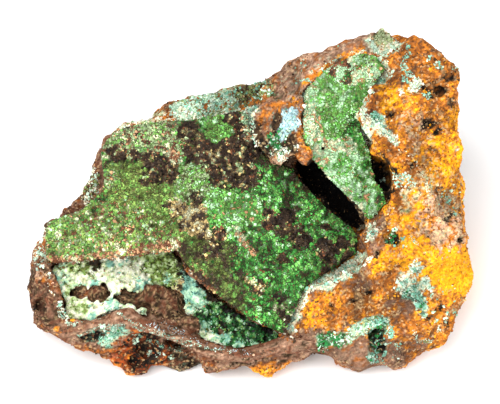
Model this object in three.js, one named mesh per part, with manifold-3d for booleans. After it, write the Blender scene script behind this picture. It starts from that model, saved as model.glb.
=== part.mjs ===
// Conichalcite specimen: a broken chunk of limonite and goethite, about 63 mm wide, whose opened
// cavities are lined with green crystal crusts. The rock is one solid; the crust of each cavity is
// a solid of its own, seated on the rock.
//
// Everything is shaped in the face frame: u runs across the display face, v up it and w out of it,
// in millimetres from the middle of the face. At the end the piece is leaned back onto its base,
// so that in the finished group +X is across, +Y is to the back and +Z is up.

import * as THREE from 'three';
import { ImprovedNoise } from 'three/addons/math/ImprovedNoise.js';
import { mergeVertices } from 'three/addons/utils/BufferGeometryUtils.js';
import Module from 'manifold-3d';

// ---------------------------------------------------------------- driving dimensions

const LEAN = THREE.MathUtils.degToRad(40); // of the display face, from lying flat
const FACE_HEIGHT = 16.5; // middle of the face above the flat of the base
const PLATE_THICKNESS = 2.0; // rock plate that carries the main crust
const LEDGE_THICKNESS = 1.6; // thinner plate that floors the upper pocket
const CRUST_THICKNESS = 0.9; // between the crystals
const CRUST_GAP = 0.3; // clearance of a crust all round
const CRUST_HEADROOM = 2.6; // from the rock to clear of the tallest crystals
const CRYSTAL_RADIUS = [0.7, 1.2];
const FACET = 2.85; // width of a facet on the broken surfaces
const MASS_FACET = 3.5; // on the masses that stand on the core

// ---------------------------------------------------------------- shaping tools

const REACH = 60; // longer than anything in the piece
const WELD = 1e-4;
const wasm = await Module();
wasm.setup();
const noise = new ImprovedNoise();

// Height of a rough surface: lumps of about the given size, with finer ones on them.
function rough(u, v, w, size, height) {
  const coarse = noise.noise(u / size + 7, v / size + 3, w / size);
  const fine = noise.noise((2.3 * u) / size, (2.3 * v) / size + 5, (2.3 * w) / size);
  return height * (coarse + 0.5 * fine);
}

function welded(geometry) {
  geometry.deleteAttribute('normal');
  geometry.deleteAttribute('uv');
  return mergeVertices(geometry, WELD);
}

function reshape(geometry, move) {
  const places = geometry.attributes.position;
  const place = new THREE.Vector3();
  for (let i = 0; i < places.count; i++) {
    place.fromBufferAttribute(places, i);
    move(place);
    places.setXYZ(i, place.x, place.y, place.z);
  }
  return geometry;
}

function solid(geometry) {
  return new wasm.Manifold(new wasm.Mesh({
    numProp: 3,
    vertProperties: geometry.attributes.position.array,
    triVerts: new Uint32Array(geometry.index.array),
  }));
}

// A surface w(u, v) that passes smoothly through the given [u, v, w] points.
function levels(points) {
  const BLEND = 1.5;
  return (u, v) => {
    let height = 0;
    let total = 0;
    for (const [pu, pv, pw] of points) {
      const weight = ((u - pu) ** 2 + (v - pv) ** 2 + BLEND ** 2) ** -1.6;
      height += weight * pw;
      total += weight;
    }
    return height / total;
  };
}

function raised(points, rise) {
  return points.map(([u, v, w]) => [u, v, w + rise]);
}

// The outline moved outwards all round.
function grown(outline, by) {
  const shape = outline.map(([u, v]) => new THREE.Vector2(u, v));
  const outwards = THREE.ShapeUtils.area(shape) > 0 ? by : -by;
  return shape.map((point, i) => {
    const before = shape.at(i - 1);
    const after = shape[(i + 1) % shape.length];
    const along = after.clone().sub(before).normalize();
    return [point.x + outwards * along.y, point.y - outwards * along.x];
  });
}

// Everything in front of and behind an outline.
function prism(outline) {
  const shape = new THREE.Shape(outline.map(([u, v]) => new THREE.Vector2(u, v)));
  const geometry = new THREE.ExtrudeGeometry(shape, { depth: 2 * REACH, bevelEnabled: false });
  geometry.translate(0, 0, -REACH);
  return solid(welded(geometry));
}

// A slab inside an outline, between two surfaces w(u, v), with facets of about one cell.
function sheet({ outline, front, back, cell = FACET }) {
  const us = outline.map(([u]) => u);
  const vs = outline.map(([, v]) => v);
  const low = [Math.min(...us), Math.min(...vs)].map((x) => Math.floor(x / cell) - 1);
  const high = [Math.max(...us), Math.max(...vs)].map((x) => Math.ceil(x / cell) + 1);
  const [columns, rows] = [high[0] - low[0], high[1] - low[1]];
  const block = welded(new THREE.BoxGeometry(columns, rows, 1, columns, rows, 1));
  reshape(block, (p) => {
    const isFront = p.z > 0;
    const across = (p.x + (low[0] + high[0]) / 2) * cell;
    const up = (p.y + (low[1] + high[1]) / 2) * cell;
    const u = across + rough(across, up, 0, 1.7 * cell, 0.55 * cell);
    const v = up + rough(across, up, REACH, 1.7 * cell, 0.55 * cell);
    const floor = back(u, v);
    p.set(u, v, isFront ? Math.max(front(u, v), floor + WELD * REACH) : floor);
  });
  return solid(block).intersect(prism(outline));
}

// A rounded lump of rock or a hollow of that shape.
function lump([u, v, w, radius], { detail = 1, stretch = [1, 1, 1], grain = 0.15 } = {}) {
  const ball = welded(new THREE.IcosahedronGeometry(1, detail));
  reshape(ball, (p) => {
    const swell = 1 + rough(p.x + u, p.y + v, p.z + w, 1.1, grain);
    p.multiplyScalar(swell * radius);
    p.multiply(new THREE.Vector3(...stretch));
    p.add(new THREE.Vector3(u, v, w));
  });
  return solid(ball);
}

function joined(solids) {
  return solids.reduce((whole, piece) => whole.add(piece));
}

// ---------------------------------------------------------------- standing on the base

const standing = new THREE.Matrix4().makeRotationX(LEAN).setPosition(0, 0, FACE_HEIGHT);
const laidBack = standing.clone().invert();

function ground() {
  const block = new THREE.BoxGeometry(4 * REACH, 4 * REACH, REACH);
  block.translate(0, 0, -REACH / 2);
  return solid(welded(block.applyMatrix4(laidBack)));
}

// ---------------------------------------------------------------- the core of the rock

const rockOutline = [
  [-29.6, -2.8], [-24.6, -1.1], [-23.9, 2.8], [-23.2, 4.3], [-22.9, 6.4], [-20.9, 10],
  [-18.8, 11.4], [-13.4, 12.8], [-12.2, 14.2], [-10.5, 14.9], [-2.4, 16.8], [1.7, 17.4],
  [3.4, 18.2], [4.8, 19.8], [8, 21.2], [13.5, 22.3], [18.5, 25.2], [21.6, 23.3], [23.6, 23.8],
  [25.3, 23.3], [29.9, 19.4], [29.5, 13.1], [30, 6], [30.2, 1], [30.5, -3.3], [31.3, -10.4],
  [30.7, -13.7], [27.5, -19.9], [22.1, -22.8], [17.8, -23.5], [13.5, -22.5], [9.7, -21.1],
  [2.1, -23.3], [-2.1, -23.1], [-7.1, -23.1], [-11.4, -22.8], [-15.7, -23.1], [-19.6, -22.2],
  [-27, -19.4], [-30.2, -17.9], [-31.6, -15.7], [-32.2, -13.2], [-31, -7.4],
];
const rimLevels = [
  [-30.4, -12.4, -3], [-29.2, -3.3, -5], [-22.5, 7.5, -11], [-11.6, 14.9, -12], [1.5, 17.5, -12],
  [7.2, 21.2, -9], [18.7, 25.2, -8], [27.1, 21.4, -6], [29.8, 13.1, -4], [31.4, -9.6, -3],
  [26.8, -20.9, -2], [15.5, -23.3, -1], [2.8, -23.5, -3], [-7.1, -22.9, -3], [-15.6, -22.7, -4],
  [-26.8, -18.9, -2],
];
const plateHeights = [
  [-28.9, -2.8, -2], [-28, -8.4, -0.5], [-23.8, -5.3, -0.5], [-19.6, -7.8, 0.5], [-18.3, -3.2, -1],
  [-13.9, -6.7, 1.5], [-10.4, -6.7, 2.5], [-14, -1.8, -0.5], [-21.3, 1, -4], [-21.8, 7.4, -7],
  [-19.4, 10.3, -8], [-18.6, 6, -6], [-14.2, 3.1, -3.5], [-14.3, 8.9, -6], [-10.1, 11.8, -8],
  [-8.5, 7.4, -5], [-8.5, 1.7, -2], [-5, 12.5, -8.5], [-1.4, 12.9, -8], [-2.9, 8.9, -6],
  [-1.4, 4.5, -4.5], [-7, -3.9, 1], [-6.2, -8.7, 2.5], [-3.5, -12.2, 3], [-1.4, -5.3, 1],
  [0, -1.8, -0.5], [1.4, 1.7, -3.5], [3.6, 5.3, -6], [1.4, -13.6, 2.5], [4.9, -17.1, 2],
  [2.8, -8.1, -0.5], [4.2, -2.5, -2.5], [7.1, 1.7, -6], [7.1, -5.4, -2.5], [7, -11, -1],
  [10, -1.9, -5.5], [12.8, -5.4, -4.5], [14.3, -2.6, -7], [11.3, -8.9, -2.5], [15.6, -6.8, -4],
  [17.2, -1.9, -8],
];
const coreHeights = [
  [-11.6, 13.6, -9.5], [-6.5, 14.7, -9.5], [-1.4, 15.9, -9.5], [2.2, 16.5, -9.5],
  [-23.3, 1.7, -8.5], [-22.7, 5.3, -9.5], [-28.8, -13.8, -1], [-26.6, -17.9, 0],
  [-21, -18.7, -0.5], [-15.6, -20.2, -3], [-9.9, -20.9, -3], [-4.2, -21, 0], [2.8, -21, 0],
  [9.8, -20.4, 0], [15.3, -21.3, 1], [20.9, -20.7, 1], [20.9, -13.6, 2], [25, -6.7, 2],
  [29.6, -9.6, -2], [23.7, 3.1, 1], [28.8, 3.1, -1], [21.1, 10.1, -1], [28.2, 11.6, -2],
  [25.5, 17.3, -3], [21.3, 20.1, -4], [18.6, 23.1, -6], [12.9, 21.4, -6], [7.2, 18.9, -7],
  [10.1, 3.2, -8.5], [13.7, 1, -9], [16.6, -1.9, -9], [18.8, 5.4, -10], [17.3, 7.5, -9],
  [16.6, 3.2, -9], [12.9, 13.2, -6.5], [10, 15.9, -5], [14.3, 17.4, -5.5], [11.5, 8.9, -7],
  [3.6, 11.7, -5], [5.7, 8.8, -5.5],
];
const CORE_CENTRE = [0, -2];
const CORE_BACK = -30;
const CORE_DETAIL = 6;
const FRONT_SQUARENESS = 6; // how abruptly the face turns over the rim
const BACK_SQUARENESS = 3;

// How far the outline lies from the core's centre in a direction.
function outlineReach(angle) {
  const towards = new THREE.Vector2(Math.cos(angle), Math.sin(angle));
  const across = new THREE.Vector2(-towards.y, towards.x);
  let reach = 0;
  rockOutline.forEach(([u, v], i) => {
    const a = new THREE.Vector2(u - CORE_CENTRE[0], v - CORE_CENTRE[1]);
    const next = rockOutline[(i + 1) % rockOutline.length];
    const b = new THREE.Vector2(next[0] - CORE_CENTRE[0], next[1] - CORE_CENTRE[1]);
    const [sideA, sideB] = [a.dot(across), b.dot(across)];
    if (sideA * sideB > 0 || sideA === sideB) return;
    const crossing = a.lerp(b, sideA / (sideA - sideB)).dot(towards);
    reach = Math.max(reach, crossing);
  });
  return reach;
}

// The bulk of the rock, bounded by the outline and by the lowest level of the face.
function core() {
  const rim = levels(rimLevels);
  const face = levels([...raised(plateHeights, -0.9), ...coreHeights]);
  const ball = welded(new THREE.IcosahedronGeometry(1, CORE_DETAIL));
  reshape(ball, (p) => {
    const isFront = p.z >= 0;
    const share = Math.min(1, Math.hypot(p.x, p.y));
    const angle = Math.atan2(p.y, p.x);
    const reach = share * outlineReach(angle);
    const u = CORE_CENTRE[0] + reach * Math.cos(angle);
    const v = CORE_CENTRE[1] + reach * Math.sin(angle);
    const power = isFront ? FRONT_SQUARENESS : BACK_SQUARENESS;
    const dome = Math.max(0, 1 - share ** power) ** (1 / power);
    const edge = rim(u, v);
    const level = isFront ? face(u, v) : CORE_BACK;
    p.set(u, v, edge + (level - edge) * dome + rough(u, v, level, 4, 0.5));
  });
  return solid(ball);
}

// The rounded, broken back and sides, as a block that the core is cut down to.
const BLOCK_HALF = new THREE.Vector3(35, 26, 22);
const BLOCK_CENTRE = new THREE.Vector3(0, -3, 12);
const BLOCK_SQUARENESS = 3.6;
const BLOCK_SLOPE = 0.4; // how far the back leans out for each mm of height
const BLOCK_DETAIL = 3;

function backBlock() {
  const block = welded(new THREE.IcosahedronGeometry(1, BLOCK_DETAIL));
  reshape(block, (p) => {
    const square = p.toArray().reduce((sum, x) => sum + Math.abs(x) ** BLOCK_SQUARENESS, 0);
    const swell = 1 + rough(3 * p.x, 3 * p.y, 3 * p.z, 1.2, 0.09);
    p.multiplyScalar(swell * square ** (-1 / BLOCK_SQUARENESS));
    p.multiply(BLOCK_HALF);
    p.y += BLOCK_SLOPE * p.z;
    p.add(BLOCK_CENTRE);
  });
  return solid(block.applyMatrix4(laidBack));
}

// ---------------------------------------------------------------- the lower hollow

const lowerHollowOutline = [
  [-28.8, -8.5], [-26.8, -7], [-21.1, -6.2], [-14.1, -5.4], [-9.2, -5.4], [-7, -8.5],
  [-3.5, -11.7], [1.4, -14.5], [6.2, -17.3], [5.9, -18.9], [1.7, -20.4], [-2.1, -20.9],
  [-6.3, -20], [-12, -17.8], [-16.9, -15.4], [-18.6, -15.1], [-20.4, -16.5], [-23.3, -16.9],
  [-25.6, -16.3], [-27.9, -9.9],
];
const hollowHeights = [
  [-26.9, -10.3, -3], [-24.8, -13.2, -3.5], [-21.4, -9.7, -5.5], [-21.2, -13.9, -3],
  [-17.2, -9, -6.5], [-17, -13.2, -4], [-12.9, -9, -7], [-12.7, -13.9, -3.5], [-9.3, -9, -7],
  [-7.8, -12.5, -5.5], [-5, -15.4, -5.5], [-1.4, -17.1, -6], [1.4, -18.9, -5], [4.3, -18.9, -4],
  [-25.2, -15.8, 0], [-18.2, -15.4, 0], [-9.1, -17.9, 0.5], [-1.4, -20, 0.5],
];
const goethiteNodules = [
  [-17.8, -13.8, 1.5], [-15.8, -14.1, 1.5], [-13.7, -13.4, 2], [-11.3, -14.1, 1.9], [-13, -15.6, 1.8],
  [-10.9, -16.2, 1.7], [-8.4, -16.9, 1.5], [-24.3, -12.8, 1.2], [-21.3, -13, 1.5],
];
const hollowFloor = levels(hollowHeights);
const HOLLOW_BED_DEPTH = -10;
const NODULE_STRETCH = [1, 1, 1.3]; // taller than it is wide

function lowerHollow() {
  return sheet({ outline: lowerHollowOutline, front: () => REACH, back: hollowFloor });
}

function hollowBed() {
  return sheet({ outline: lowerHollowOutline, front: hollowFloor, back: () => HOLLOW_BED_DEPTH });
}

// Botryoidal goethite that grew on the floor of the lower hollow.
function nodules(clearance = 0) {
  return joined(goethiteNodules.map(([u, v, radius]) => {
    const place = [u, v, hollowFloor(u, v), radius + clearance];
    return lump(place, { stretch: NODULE_STRETCH });
  }));
}

// ---------------------------------------------------------------- the cleft behind the main crust

const cleftOutline = [
  [6.6, 5.7], [8.6, 6.6], [11.2, 6], [17.2, 0.3], [18.7, -1.4], [19, -3.4], [16.1, -4.9],
  [14.4, -3.9], [8.3, 1.4], [7, 3.4],
];
const voidOutline = [
  [15.6, 9.1], [17.1, 8.3], [17.9, 6.6], [20.3, 5.4], [20.8, 4.3], [19.7, -0.3], [18.6, -0.9],
  [15.7, 7.1],
];
const CLEFT_FLOOR = -13;
const VOID_FLOOR = -11;

function clefts() {
  const cleft = sheet({ outline: cleftOutline, front: () => REACH, back: () => CLEFT_FLOOR });
  const hole = sheet({ outline: voidOutline, front: () => REACH, back: () => VOID_FLOOR });
  return cleft.add(hole);
}

// ---------------------------------------------------------------- plates, rims and toes

const plateOutline = [
  [-29.1, -2.7], [-25.3, -1.7], [-21.4, 1.4], [-20.9, 3.1], [-21.8, 7], [-21.4, 8.4], [-20.5, 9.6],
  [-17.1, 11.2], [-14.7, 11.7], [-8.4, 11.9], [-1.4, 13.2], [0.8, 13.2], [2.8, 7.3], [6.6, 5.1],
  [9.1, 1.3], [14.6, -3.4], [16.3, -4.5], [17.4, -6.2], [16.9, -8.4], [10.1, -12.6], [7.9, -14.9],
  [5.6, -19], [0.7, -16.9], [-3.9, -13.8], [-6.3, -12.1], [-9.6, -8.4], [-10.4, -6.9], [-14, -7.4],
  [-19, -8], [-23.9, -8.4], [-28.8, -9],
];
const plateLevel = levels(plateHeights);

function mainPlate() {
  return sheet({
    outline: plateOutline,
    front: plateLevel,
    back: (u, v) => plateLevel(u, v) - PLATE_THICKNESS,
  });
}

const pocketOutline = [
  [6.9, 14.3], [7.3, 16], [8.7, 17.6], [12.3, 20.3], [15.1, 21.4], [17.9, 21.3], [19.9, 19.6],
  [19.9, 17.9], [17.1, 15], [16.2, 13.4], [16.4, 11.8], [15.7, 10.1], [17.1, 7], [17.1, 4.8],
  [17.5, 3.1], [18.8, 1.7], [19.3, -0.1], [18.8, -1.4], [17.4, -2.8], [16.2, -2.8], [15.1, -0.6],
  [11.2, 3.4], [7.6, 7], [6.9, 8.7],
];
const pocketHeights = [
  [9.9, 17.9, -2.5], [13.5, 19.4, -3.5], [16.2, 20, -2], [8.4, 12.9, -0.5], [8.1, 9.3, 1],
  [10.6, 14.4, -3], [12.8, 15.9, -4], [14.2, 13.1, -4.5], [14.9, 11, -5], [12, 10.2, -3],
  [9.8, 8, -0.5], [11.2, 5.9, 0], [13.4, 7.3, -2], [13.3, 3.8, 0.5], [15.5, 4.5, -2], [16.1, 1, 0],
  [16.8, -1.1, 0.5], [17.7, 6, -4], [19, 17.8, -1],
];
const pocketLevel = levels(pocketHeights);

function pocketLedge() {
  return sheet({
    outline: pocketOutline,
    front: pocketLevel,
    back: (u, v) => pocketLevel(u, v) - LEDGE_THICKNESS,
  });
}

const knobOutline = [
  [0.1, 12.3], [1.7, 13.7], [5.6, 15.3], [7.4, 15.6], [8.1, 8.4], [8.8, 6.1], [8.1, 5.3], [7, 5.4],
  [6.6, 6.6], [5.6, 6.6], [5.2, 5.4], [4.2, 5], [3.2, 5.6], [0.1, 9.3],
];
const knobHeights = [
  [0.7, 11.6, -3], [2.8, 12.9, -1], [5.6, 14.5, 0.5], [7.2, 12.8, 2], [7.3, 8.6, 3.5],
  [7.7, 5.8, 3.5], [4.9, 11.5, -0.8], [3.5, 8, 0.5], [4.6, 5.4, 1.5], [1.7, 8.7, -1],
];
const crestOutline = [
  [1.7, 15.6], [4.8, 19.5], [5.9, 20.4], [8.2, 21.2], [12.7, 21.8], [18.5, 25], [19.4, 24.7],
  [21.2, 22.9], [21.8, 21.2], [20.1, 19.5], [15.6, 20.6], [13, 19.8], [9.3, 17], [8.2, 15.3],
  [7.6, 13.6], [5.7, 14.1], [2, 13.9],
];
const crestHeights = [
  [3.6, 17.4, -6], [5.7, 19.5, -5.5], [7.1, 16.9, -2.2], [7.7, 14.5, 0.5], [9.9, 20.1, -3.5],
  [9.3, 18.3, -1.5], [12.7, 21.2, -3], [13.4, 20.6, -1.8], [15.6, 22.2, -3], [18.6, 24.8, -5],
  [17.8, 22.9, -2.5], [20, 22.3, -2.5], [21.1, 22.1, -2], [4.9, 15.5, -2.5], [2.8, 15.2, -4],
];
const shoulderOutline = [
  [5.5, -18.7], [6.1, -16.6], [8, -12.2], [9.4, -11.4], [11.1, -10.9], [15.5, -8.6], [16.4, -7.5],
  [15.5, -5], [19.1, 0.3], [20, 3.9], [19.3, 5.1], [17.2, 7.2], [17.5, 8.2], [15.5, 10.3],
  [15.2, 11.9], [15.5, 13.3], [16.6, 14.3], [16.1, 15.4], [16.9, 16.2], [18.6, 16.9], [19.4, 18.3],
  [19.1, 19.7], [21.3, 22.5], [23, 23.4], [24.7, 23.1], [29.7, 19.1], [29.8, 16.8], [28.8, 16.1],
  [29, 9.1], [29.4, 7.2], [29.7, 1.7], [30.1, -3.2], [31.3, -10.3], [30.5, -13.3], [27.7, -19.1],
  [25.8, -20.7], [23.6, -21.5], [21.9, -22.9], [19.4, -23.3], [18.6, -21.2], [19.1, -19.1],
  [18.7, -17], [17.3, -16.1], [13.2, -17.7], [8, -19],
];
const shoulderHeights = [
  [5.6, -18.5, 1.5], [7, -15.3, 2], [10, -11.1, 2.5], [13.9, -9.6, 3], [15.9, -8.3, 3.5],
  [11, -14.9, 5], [15.1, -13.4, 6], [9.7, -17.4, 3.5], [13.1, -17.4, 3.5], [20.5, -13.4, 7],
  [20.4, -7.9, 8], [17.8, -5.2, 7], [16.5, -3.6, 5.5], [24.6, -7.9, 7.5], [28.3, -8, 4],
  [30.8, -8.8, 0], [20.5, 0.3, 7], [24.6, 0.3, 7], [28.4, 0.3, 3.5], [29.8, 0.3, 0.5],
  [20, 5.8, 5], [18, 7.2, 4], [23.3, 7.1, 6], [27.7, 7.2, 3], [16.9, 12.5, 2.5], [20.7, 12.7, 4],
  [24.9, 12.7, 4], [28.7, 12.9, 0.5], [17.4, 15.9, 1.5], [20.9, 17, 2], [25, 17, 2],
  [28.7, 17.8, 0], [26.7, 19.9, -1], [23.3, 22.1, -2], [21.1, 21.4, -1], [24.8, -14.9, 5],
  [27.7, -13.6, 3], [30.2, -13.8, -1], [26.5, -19.3, 1], [22.2, -19.9, 2.5], [18.7, -19.8, 3],
  [21, -22.8, 0.5],
];
const lowerRimOutline = [
  [-30.8, -10.8], [-30.1, -8.9], [-28.4, -8.3], [-27.4, -9.7], [-25.2, -16.1], [-22.9, -16.6],
  [-20.1, -16.2], [-18.3, -14.8], [-16.6, -15.1], [-11.8, -17.5], [-6.2, -19.7], [-2.1, -20.5],
  [1.7, -20.1], [5.5, -18.8], [8.6, -19], [10.8, -20.5], [9.7, -21.1], [5.5, -20.8], [-1.4, -22.2],
  [-4.9, -21.6], [-11.1, -19.1], [-13.9, -18.3], [-20.8, -17.5], [-23.6, -18.6], [-26.3, -18.8],
  [-28.4, -17.7], [-29.8, -16.1], [-30.8, -14],
];
const lowerRimHeights = [
  [-30.9, -12.3, -0.5], [-28.6, -9.5, 1], [-27.9, -13.7, 1.5], [-26.4, -17.1, 2.5],
  [-20.8, -16.7, 3.5], [-17.2, -16, 4.5], [-9.6, -18.6, 5], [-2.8, -20.9, 5], [5.5, -19.8, 4],
  [9.7, -20.5, 3.5],
];
const lensLedgeOutline = [
  [-26.7, -18.8], [-20.9, -17.3], [-17.4, -17.3], [-15, -18.2], [-19.5, -20.9], [-21.2, -21.2],
  [-22.3, -20.6], [-23.3, -20.8],
];
const vugLobeOutline = [
  [-22.3, -20.7], [-19.3, -20], [-15.1, -17.7], [-12.6, -18.7], [-11.2, -20.4], [-11.7, -22],
  [-12.8, -22.9], [-13.8, -22.9], [-14.4, -24], [-15.5, -24.4], [-17.4, -24], [-19.8, -21.9],
];
const darkToeOutline = [
  [-12.6, -20.1], [-7, -21.1], [-7.3, -23], [-9.8, -24], [-12.6, -22.8],
];
const wedgeToeOutline = [
  [-7.6, -20.2], [-1.4, -21.6], [2.1, -21.3], [0.3, -22.7], [-6, -23.8], [-6.8, -22.7],
];
const ochreToeOutline = [
  [-1.7, -22], [5.6, -20.3], [9.7, -20.6], [8.6, -21.6], [5.6, -22.5], [2.8, -24.2], [1.7, -24.1],
];
const keelOutline = [
  [8, -19.6], [13.8, -17.7], [16.9, -16.6], [18.8, -17.2], [19.6, -19.8], [21.9, -21.2],
  [21.9, -22.7], [17.3, -23.2], [15.2, -24.1], [9.7, -20.9],
];
const backLedgeOutline = [
  [-13.6, 12.1], [-12.4, 14.2], [-11, 14.9], [-8.7, 15], [-2.5, 16.9], [1.7, 17.3], [2.9, 17.8],
  [4, 16.9], [3.6, 14.2], [0.9, 13], [-5.1, 11.8], [-13, 11.3],
];

// A mass of rock that stands out of the core, down to a depth inside it.
function mass(outline, heights, depth) {
  const level = levels(heights);
  return sheet({
    outline,
    front: (u, v) => level(u, v) + rough(u, v, 0, 3, 1.1),
    back: (u, v) => Math.min(depth, level(u, v) - LEDGE_THICKNESS),
    cell: MASS_FACET,
  });
}

function masses() {
  return joined([
    mass(backLedgeOutline, [[-8, 14, -9.5], [2, 16, -9]], -14),
    mass(knobOutline, knobHeights, -3.5),
    mass(crestOutline, crestHeights, -9),
    mass(shoulderOutline, shoulderHeights, -5),
    mass(lowerRimOutline, lowerRimHeights, -6),
    mass(lensLedgeOutline, [[-22, -18.5, 1.5], [-17, -18.5, 1.8]], -6),
    mass(vugLobeOutline, [[-17, -21, 0.5], [-13, -21, 1.2]], -8),
    mass(darkToeOutline, [[-9, -22, -1]], -8),
    mass(wedgeToeOutline, [[-5, -21, 3.4], [-4, -24, 1.5]], -6),
    mass(ochreToeOutline, [[0, -22, 2.4], [4, -24, 1]], -6),
    mass(keelOutline, [[15, -18, 4], [15, -24, 1.5], [20, -21, 3]], -6),
  ]);
}

// ---------------------------------------------------------------- knobs and pits

const shoulderKnobs = [
  [17, 12.5, 1.2, 1.2], [18, 7.4, 2.6, 1.4], [19.7, 6.6, 3.2, 1.3], [20.4, 2.5, 4, 1.2],
  [16.3, -4.7, 4, 1.3], [13.3, -9.7, 2.6, 1], [8.6, -12.4, 2, 1],
];
const pits = [
  [19, 12.3, 4.2, 0.8], [24.6, 10.9, 4.4, 0.9], [25.6, 9.8, 4.6, 0.7], [26.4, 15.3, 2.6, 1.1],
  [25.1, 14.7, 2.8, 0.8], [21.7, 5.1, 6, 0.7], [25.9, 1.6, 6, 0.7], [19, -4.7, 6.6, 1],
  [17.2, -18.4, 3.4, 1.1], [17.6, -20.1, 3.6, 1.1], [-29.3, -14.1, 1, 0.9],
  [-14.8, -20.6, 1.2, 1.2], [-16.2, -22.2, 1.2, 1],
];

function knobs() {
  return joined(shoulderKnobs.map((knob) => lump(knob, { detail: 0 })));
}

function pitHoles() {
  return joined(pits.map(([u, v, w, r]) => lump([u, v, w, r], { detail: 0, stretch: [1, 1, 2] })));
}

// ---------------------------------------------------------------- crystal crusts

const mainCrustOutline = [
  [-28.5, -3.1], [-23.3, -1.1], [-20.8, 1.4], [-20.4, 3.1], [-21.2, 6.9], [-20.6, 8.3],
  [-19.4, 9.8], [-16.9, 10.8], [-11.8, 11.4], [-8.4, 11.5], [-1.7, 12.8], [-0.6, 12.5],
  [-0.1, 10.1], [0.8, 7.6], [2.5, 5.9], [6, 4.5], [7.2, 2.7], [10.7, -1], [14.3, -3.8],
  [15.2, -5.1], [14.9, -7.2], [8.8, -11], [7.4, -12.1], [4.6, -18.1], [0.8, -16.4], [-5.9, -11.7],
  [-9, -8.1], [-10, -6.5], [-14, -7], [-19, -7.6], [-27.3, -8.4], [-28.4, -7.9],
];
const pocketCrustOutline = [
  [7.6, 13.8], [8, 15.7], [11, 18.7], [15.2, 20.8], [17.4, 20.5], [18.7, 18.8], [16.6, 15.7],
  [15.6, 12.6], [15.9, 11.7], [15.2, 10.1], [16.7, 7], [17.3, 3.1], [18.5, 1.4], [18.8, -0.1],
  [16.7, -2.4], [15.7, -1], [11.7, 2.9], [8.1, 7], [7.6, 9],
];
const hollowCrustOutline = [
  [-27.8, -9.4], [-26.7, -8.5], [-21.3, -7.9], [-15.6, -7.4], [-11.1, -7.4], [-8.8, -9.4],
  [-6, -12.8], [-2.1, -15.6], [4.8, -18.7], [2.8, -20], [-2.1, -20.4], [-5.4, -19.7],
  [-7.7, -18.6], [-9.1, -17], [-12.8, -16.5], [-18.7, -14.8], [-21.3, -16], [-23.4, -16.5],
  [-25.3, -15.9],
];

function isInside(outline, u, v) {
  let inside = false;
  outline.forEach(([au, av], i) => {
    const [bu, bv] = outline[(i + 1) % outline.length];
    const straddles = av > v !== bv > v;
    if (straddles && u < au + ((bu - au) * (v - av)) / (bv - av)) inside = !inside;
  });
  return inside;
}

// A single crystal: a short four-sided pyramid that leans a little, with its foot in the crust.
function crystal(place, radius, random) {
  const FOOT = 0.35;
  const LEANING = 0.4;
  const geometry = new THREE.ConeGeometry(radius, radius + FOOT, 4);
  geometry.rotateX(Math.PI / 2).translate(0, 0, (radius + FOOT) / 2 - FOOT);
  const lean = [random() - 0.5, random() - 0.5].map((x) => x * LEANING);
  const turn = new THREE.Euler(lean[0], lean[1], random() * Math.PI);
  geometry.applyMatrix4(new THREE.Matrix4().makeRotationFromEuler(turn).setPosition(place));
  return solid(welded(geometry));
}

// Crystals scattered over the inside of an outline, about one spacing apart.
function druse(outline, level, { spacing, seed }) {
  THREE.MathUtils.seededRandom(seed);
  const random = () => THREE.MathUtils.seededRandom();
  const [small, large] = CRYSTAL_RADIUS;
  const inner = grown(outline, -large);
  const crystals = [];
  const us = outline.map(([u]) => u);
  const vs = outline.map(([, v]) => v);
  for (let v = Math.min(...vs); v < Math.max(...vs); v += spacing) {
    for (let u = Math.min(...us); u < Math.max(...us); u += spacing) {
      const [cu, cv] = [u + random() * spacing, v + random() * spacing];
      const radius = small + (large - small) * random();
      const place = new THREE.Vector3(cu, cv, level(cu, cv));
      if (isInside(inner, cu, cv)) crystals.push(crystal(place, radius, random));
    }
  }
  return joined(crystals);
}

// A crust between its outline, the rock below and the tips of its crystals.
function crust(outline, floor, growth) {
  const bottom = (u, v) => floor(u, v) + CRUST_GAP;
  const top = (u, v) => bottom(u, v) + CRUST_THICKNESS;
  const bed = sheet({
    outline,
    front: (u, v) => top(u, v) + rough(u, v, growth.seed, 2, 0.3),
    back: bottom,
  });
  return bed.add(druse(outline, top, growth));
}

// The space that a crust needs in the rock.
function seat(outline, floor) {
  return sheet({
    outline: grown(outline, CRUST_GAP),
    front: (u, v) => floor(u, v) + CRUST_HEADROOM,
    back: floor,
  });
}

// ---------------------------------------------------------------- assembly

const mainGrowth = { spacing: 4, seed: 12 };
const pocketGrowth = { spacing: 3.2, seed: 24 };
const hollowGrowth = { spacing: 4.2, seed: 40 };

function rock() {
  return core()
    .intersect(backBlock())
    .subtract(lowerHollow())
    .add(hollowBed())
    .subtract(clefts())
    .add(mainPlate())
    .add(pocketLedge())
    .add(masses())
    .add(knobs())
    .subtract(pitHoles())
    .subtract(seat(mainCrustOutline, plateLevel))
    .subtract(seat(pocketCrustOutline, pocketLevel))
    .subtract(seat(hollowCrustOutline, hollowFloor))
    .add(nodules())
    .subtract(ground());
}

function hollowLining() {
  return crust(hollowCrustOutline, hollowFloor, hollowGrowth).subtract(nodules(CRUST_GAP));
}

function mesh(name, piece, colour, roughness) {
  const { vertProperties, triVerts } = piece.getMesh();
  const geometry = new THREE.BufferGeometry();
  geometry.setAttribute('position', new THREE.BufferAttribute(vertProperties, 3));
  geometry.setIndex(new THREE.BufferAttribute(triVerts, 1));
  const material = new THREE.MeshStandardMaterial({ color: colour, roughness, metalness: 0 });
  const made = new THREE.Mesh(geometry, material);
  made.name = name;
  return made;
}

const leaned = new THREE.Group();
leaned.rotation.x = LEAN;
leaned.add(
  mesh('limonite_rock', rock(), 0xa8601c, 0.9),
  mesh('main_crust', crust(mainCrustOutline, plateLevel, mainGrowth), 0x3f8a3a, 0.5),
  mesh('pocket_crust', crust(pocketCrustOutline, pocketLevel, pocketGrowth), 0x6fae6c, 0.5),
  mesh('hollow_crust', hollowLining(), 0xb9d9b4, 0.6),
);

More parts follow.
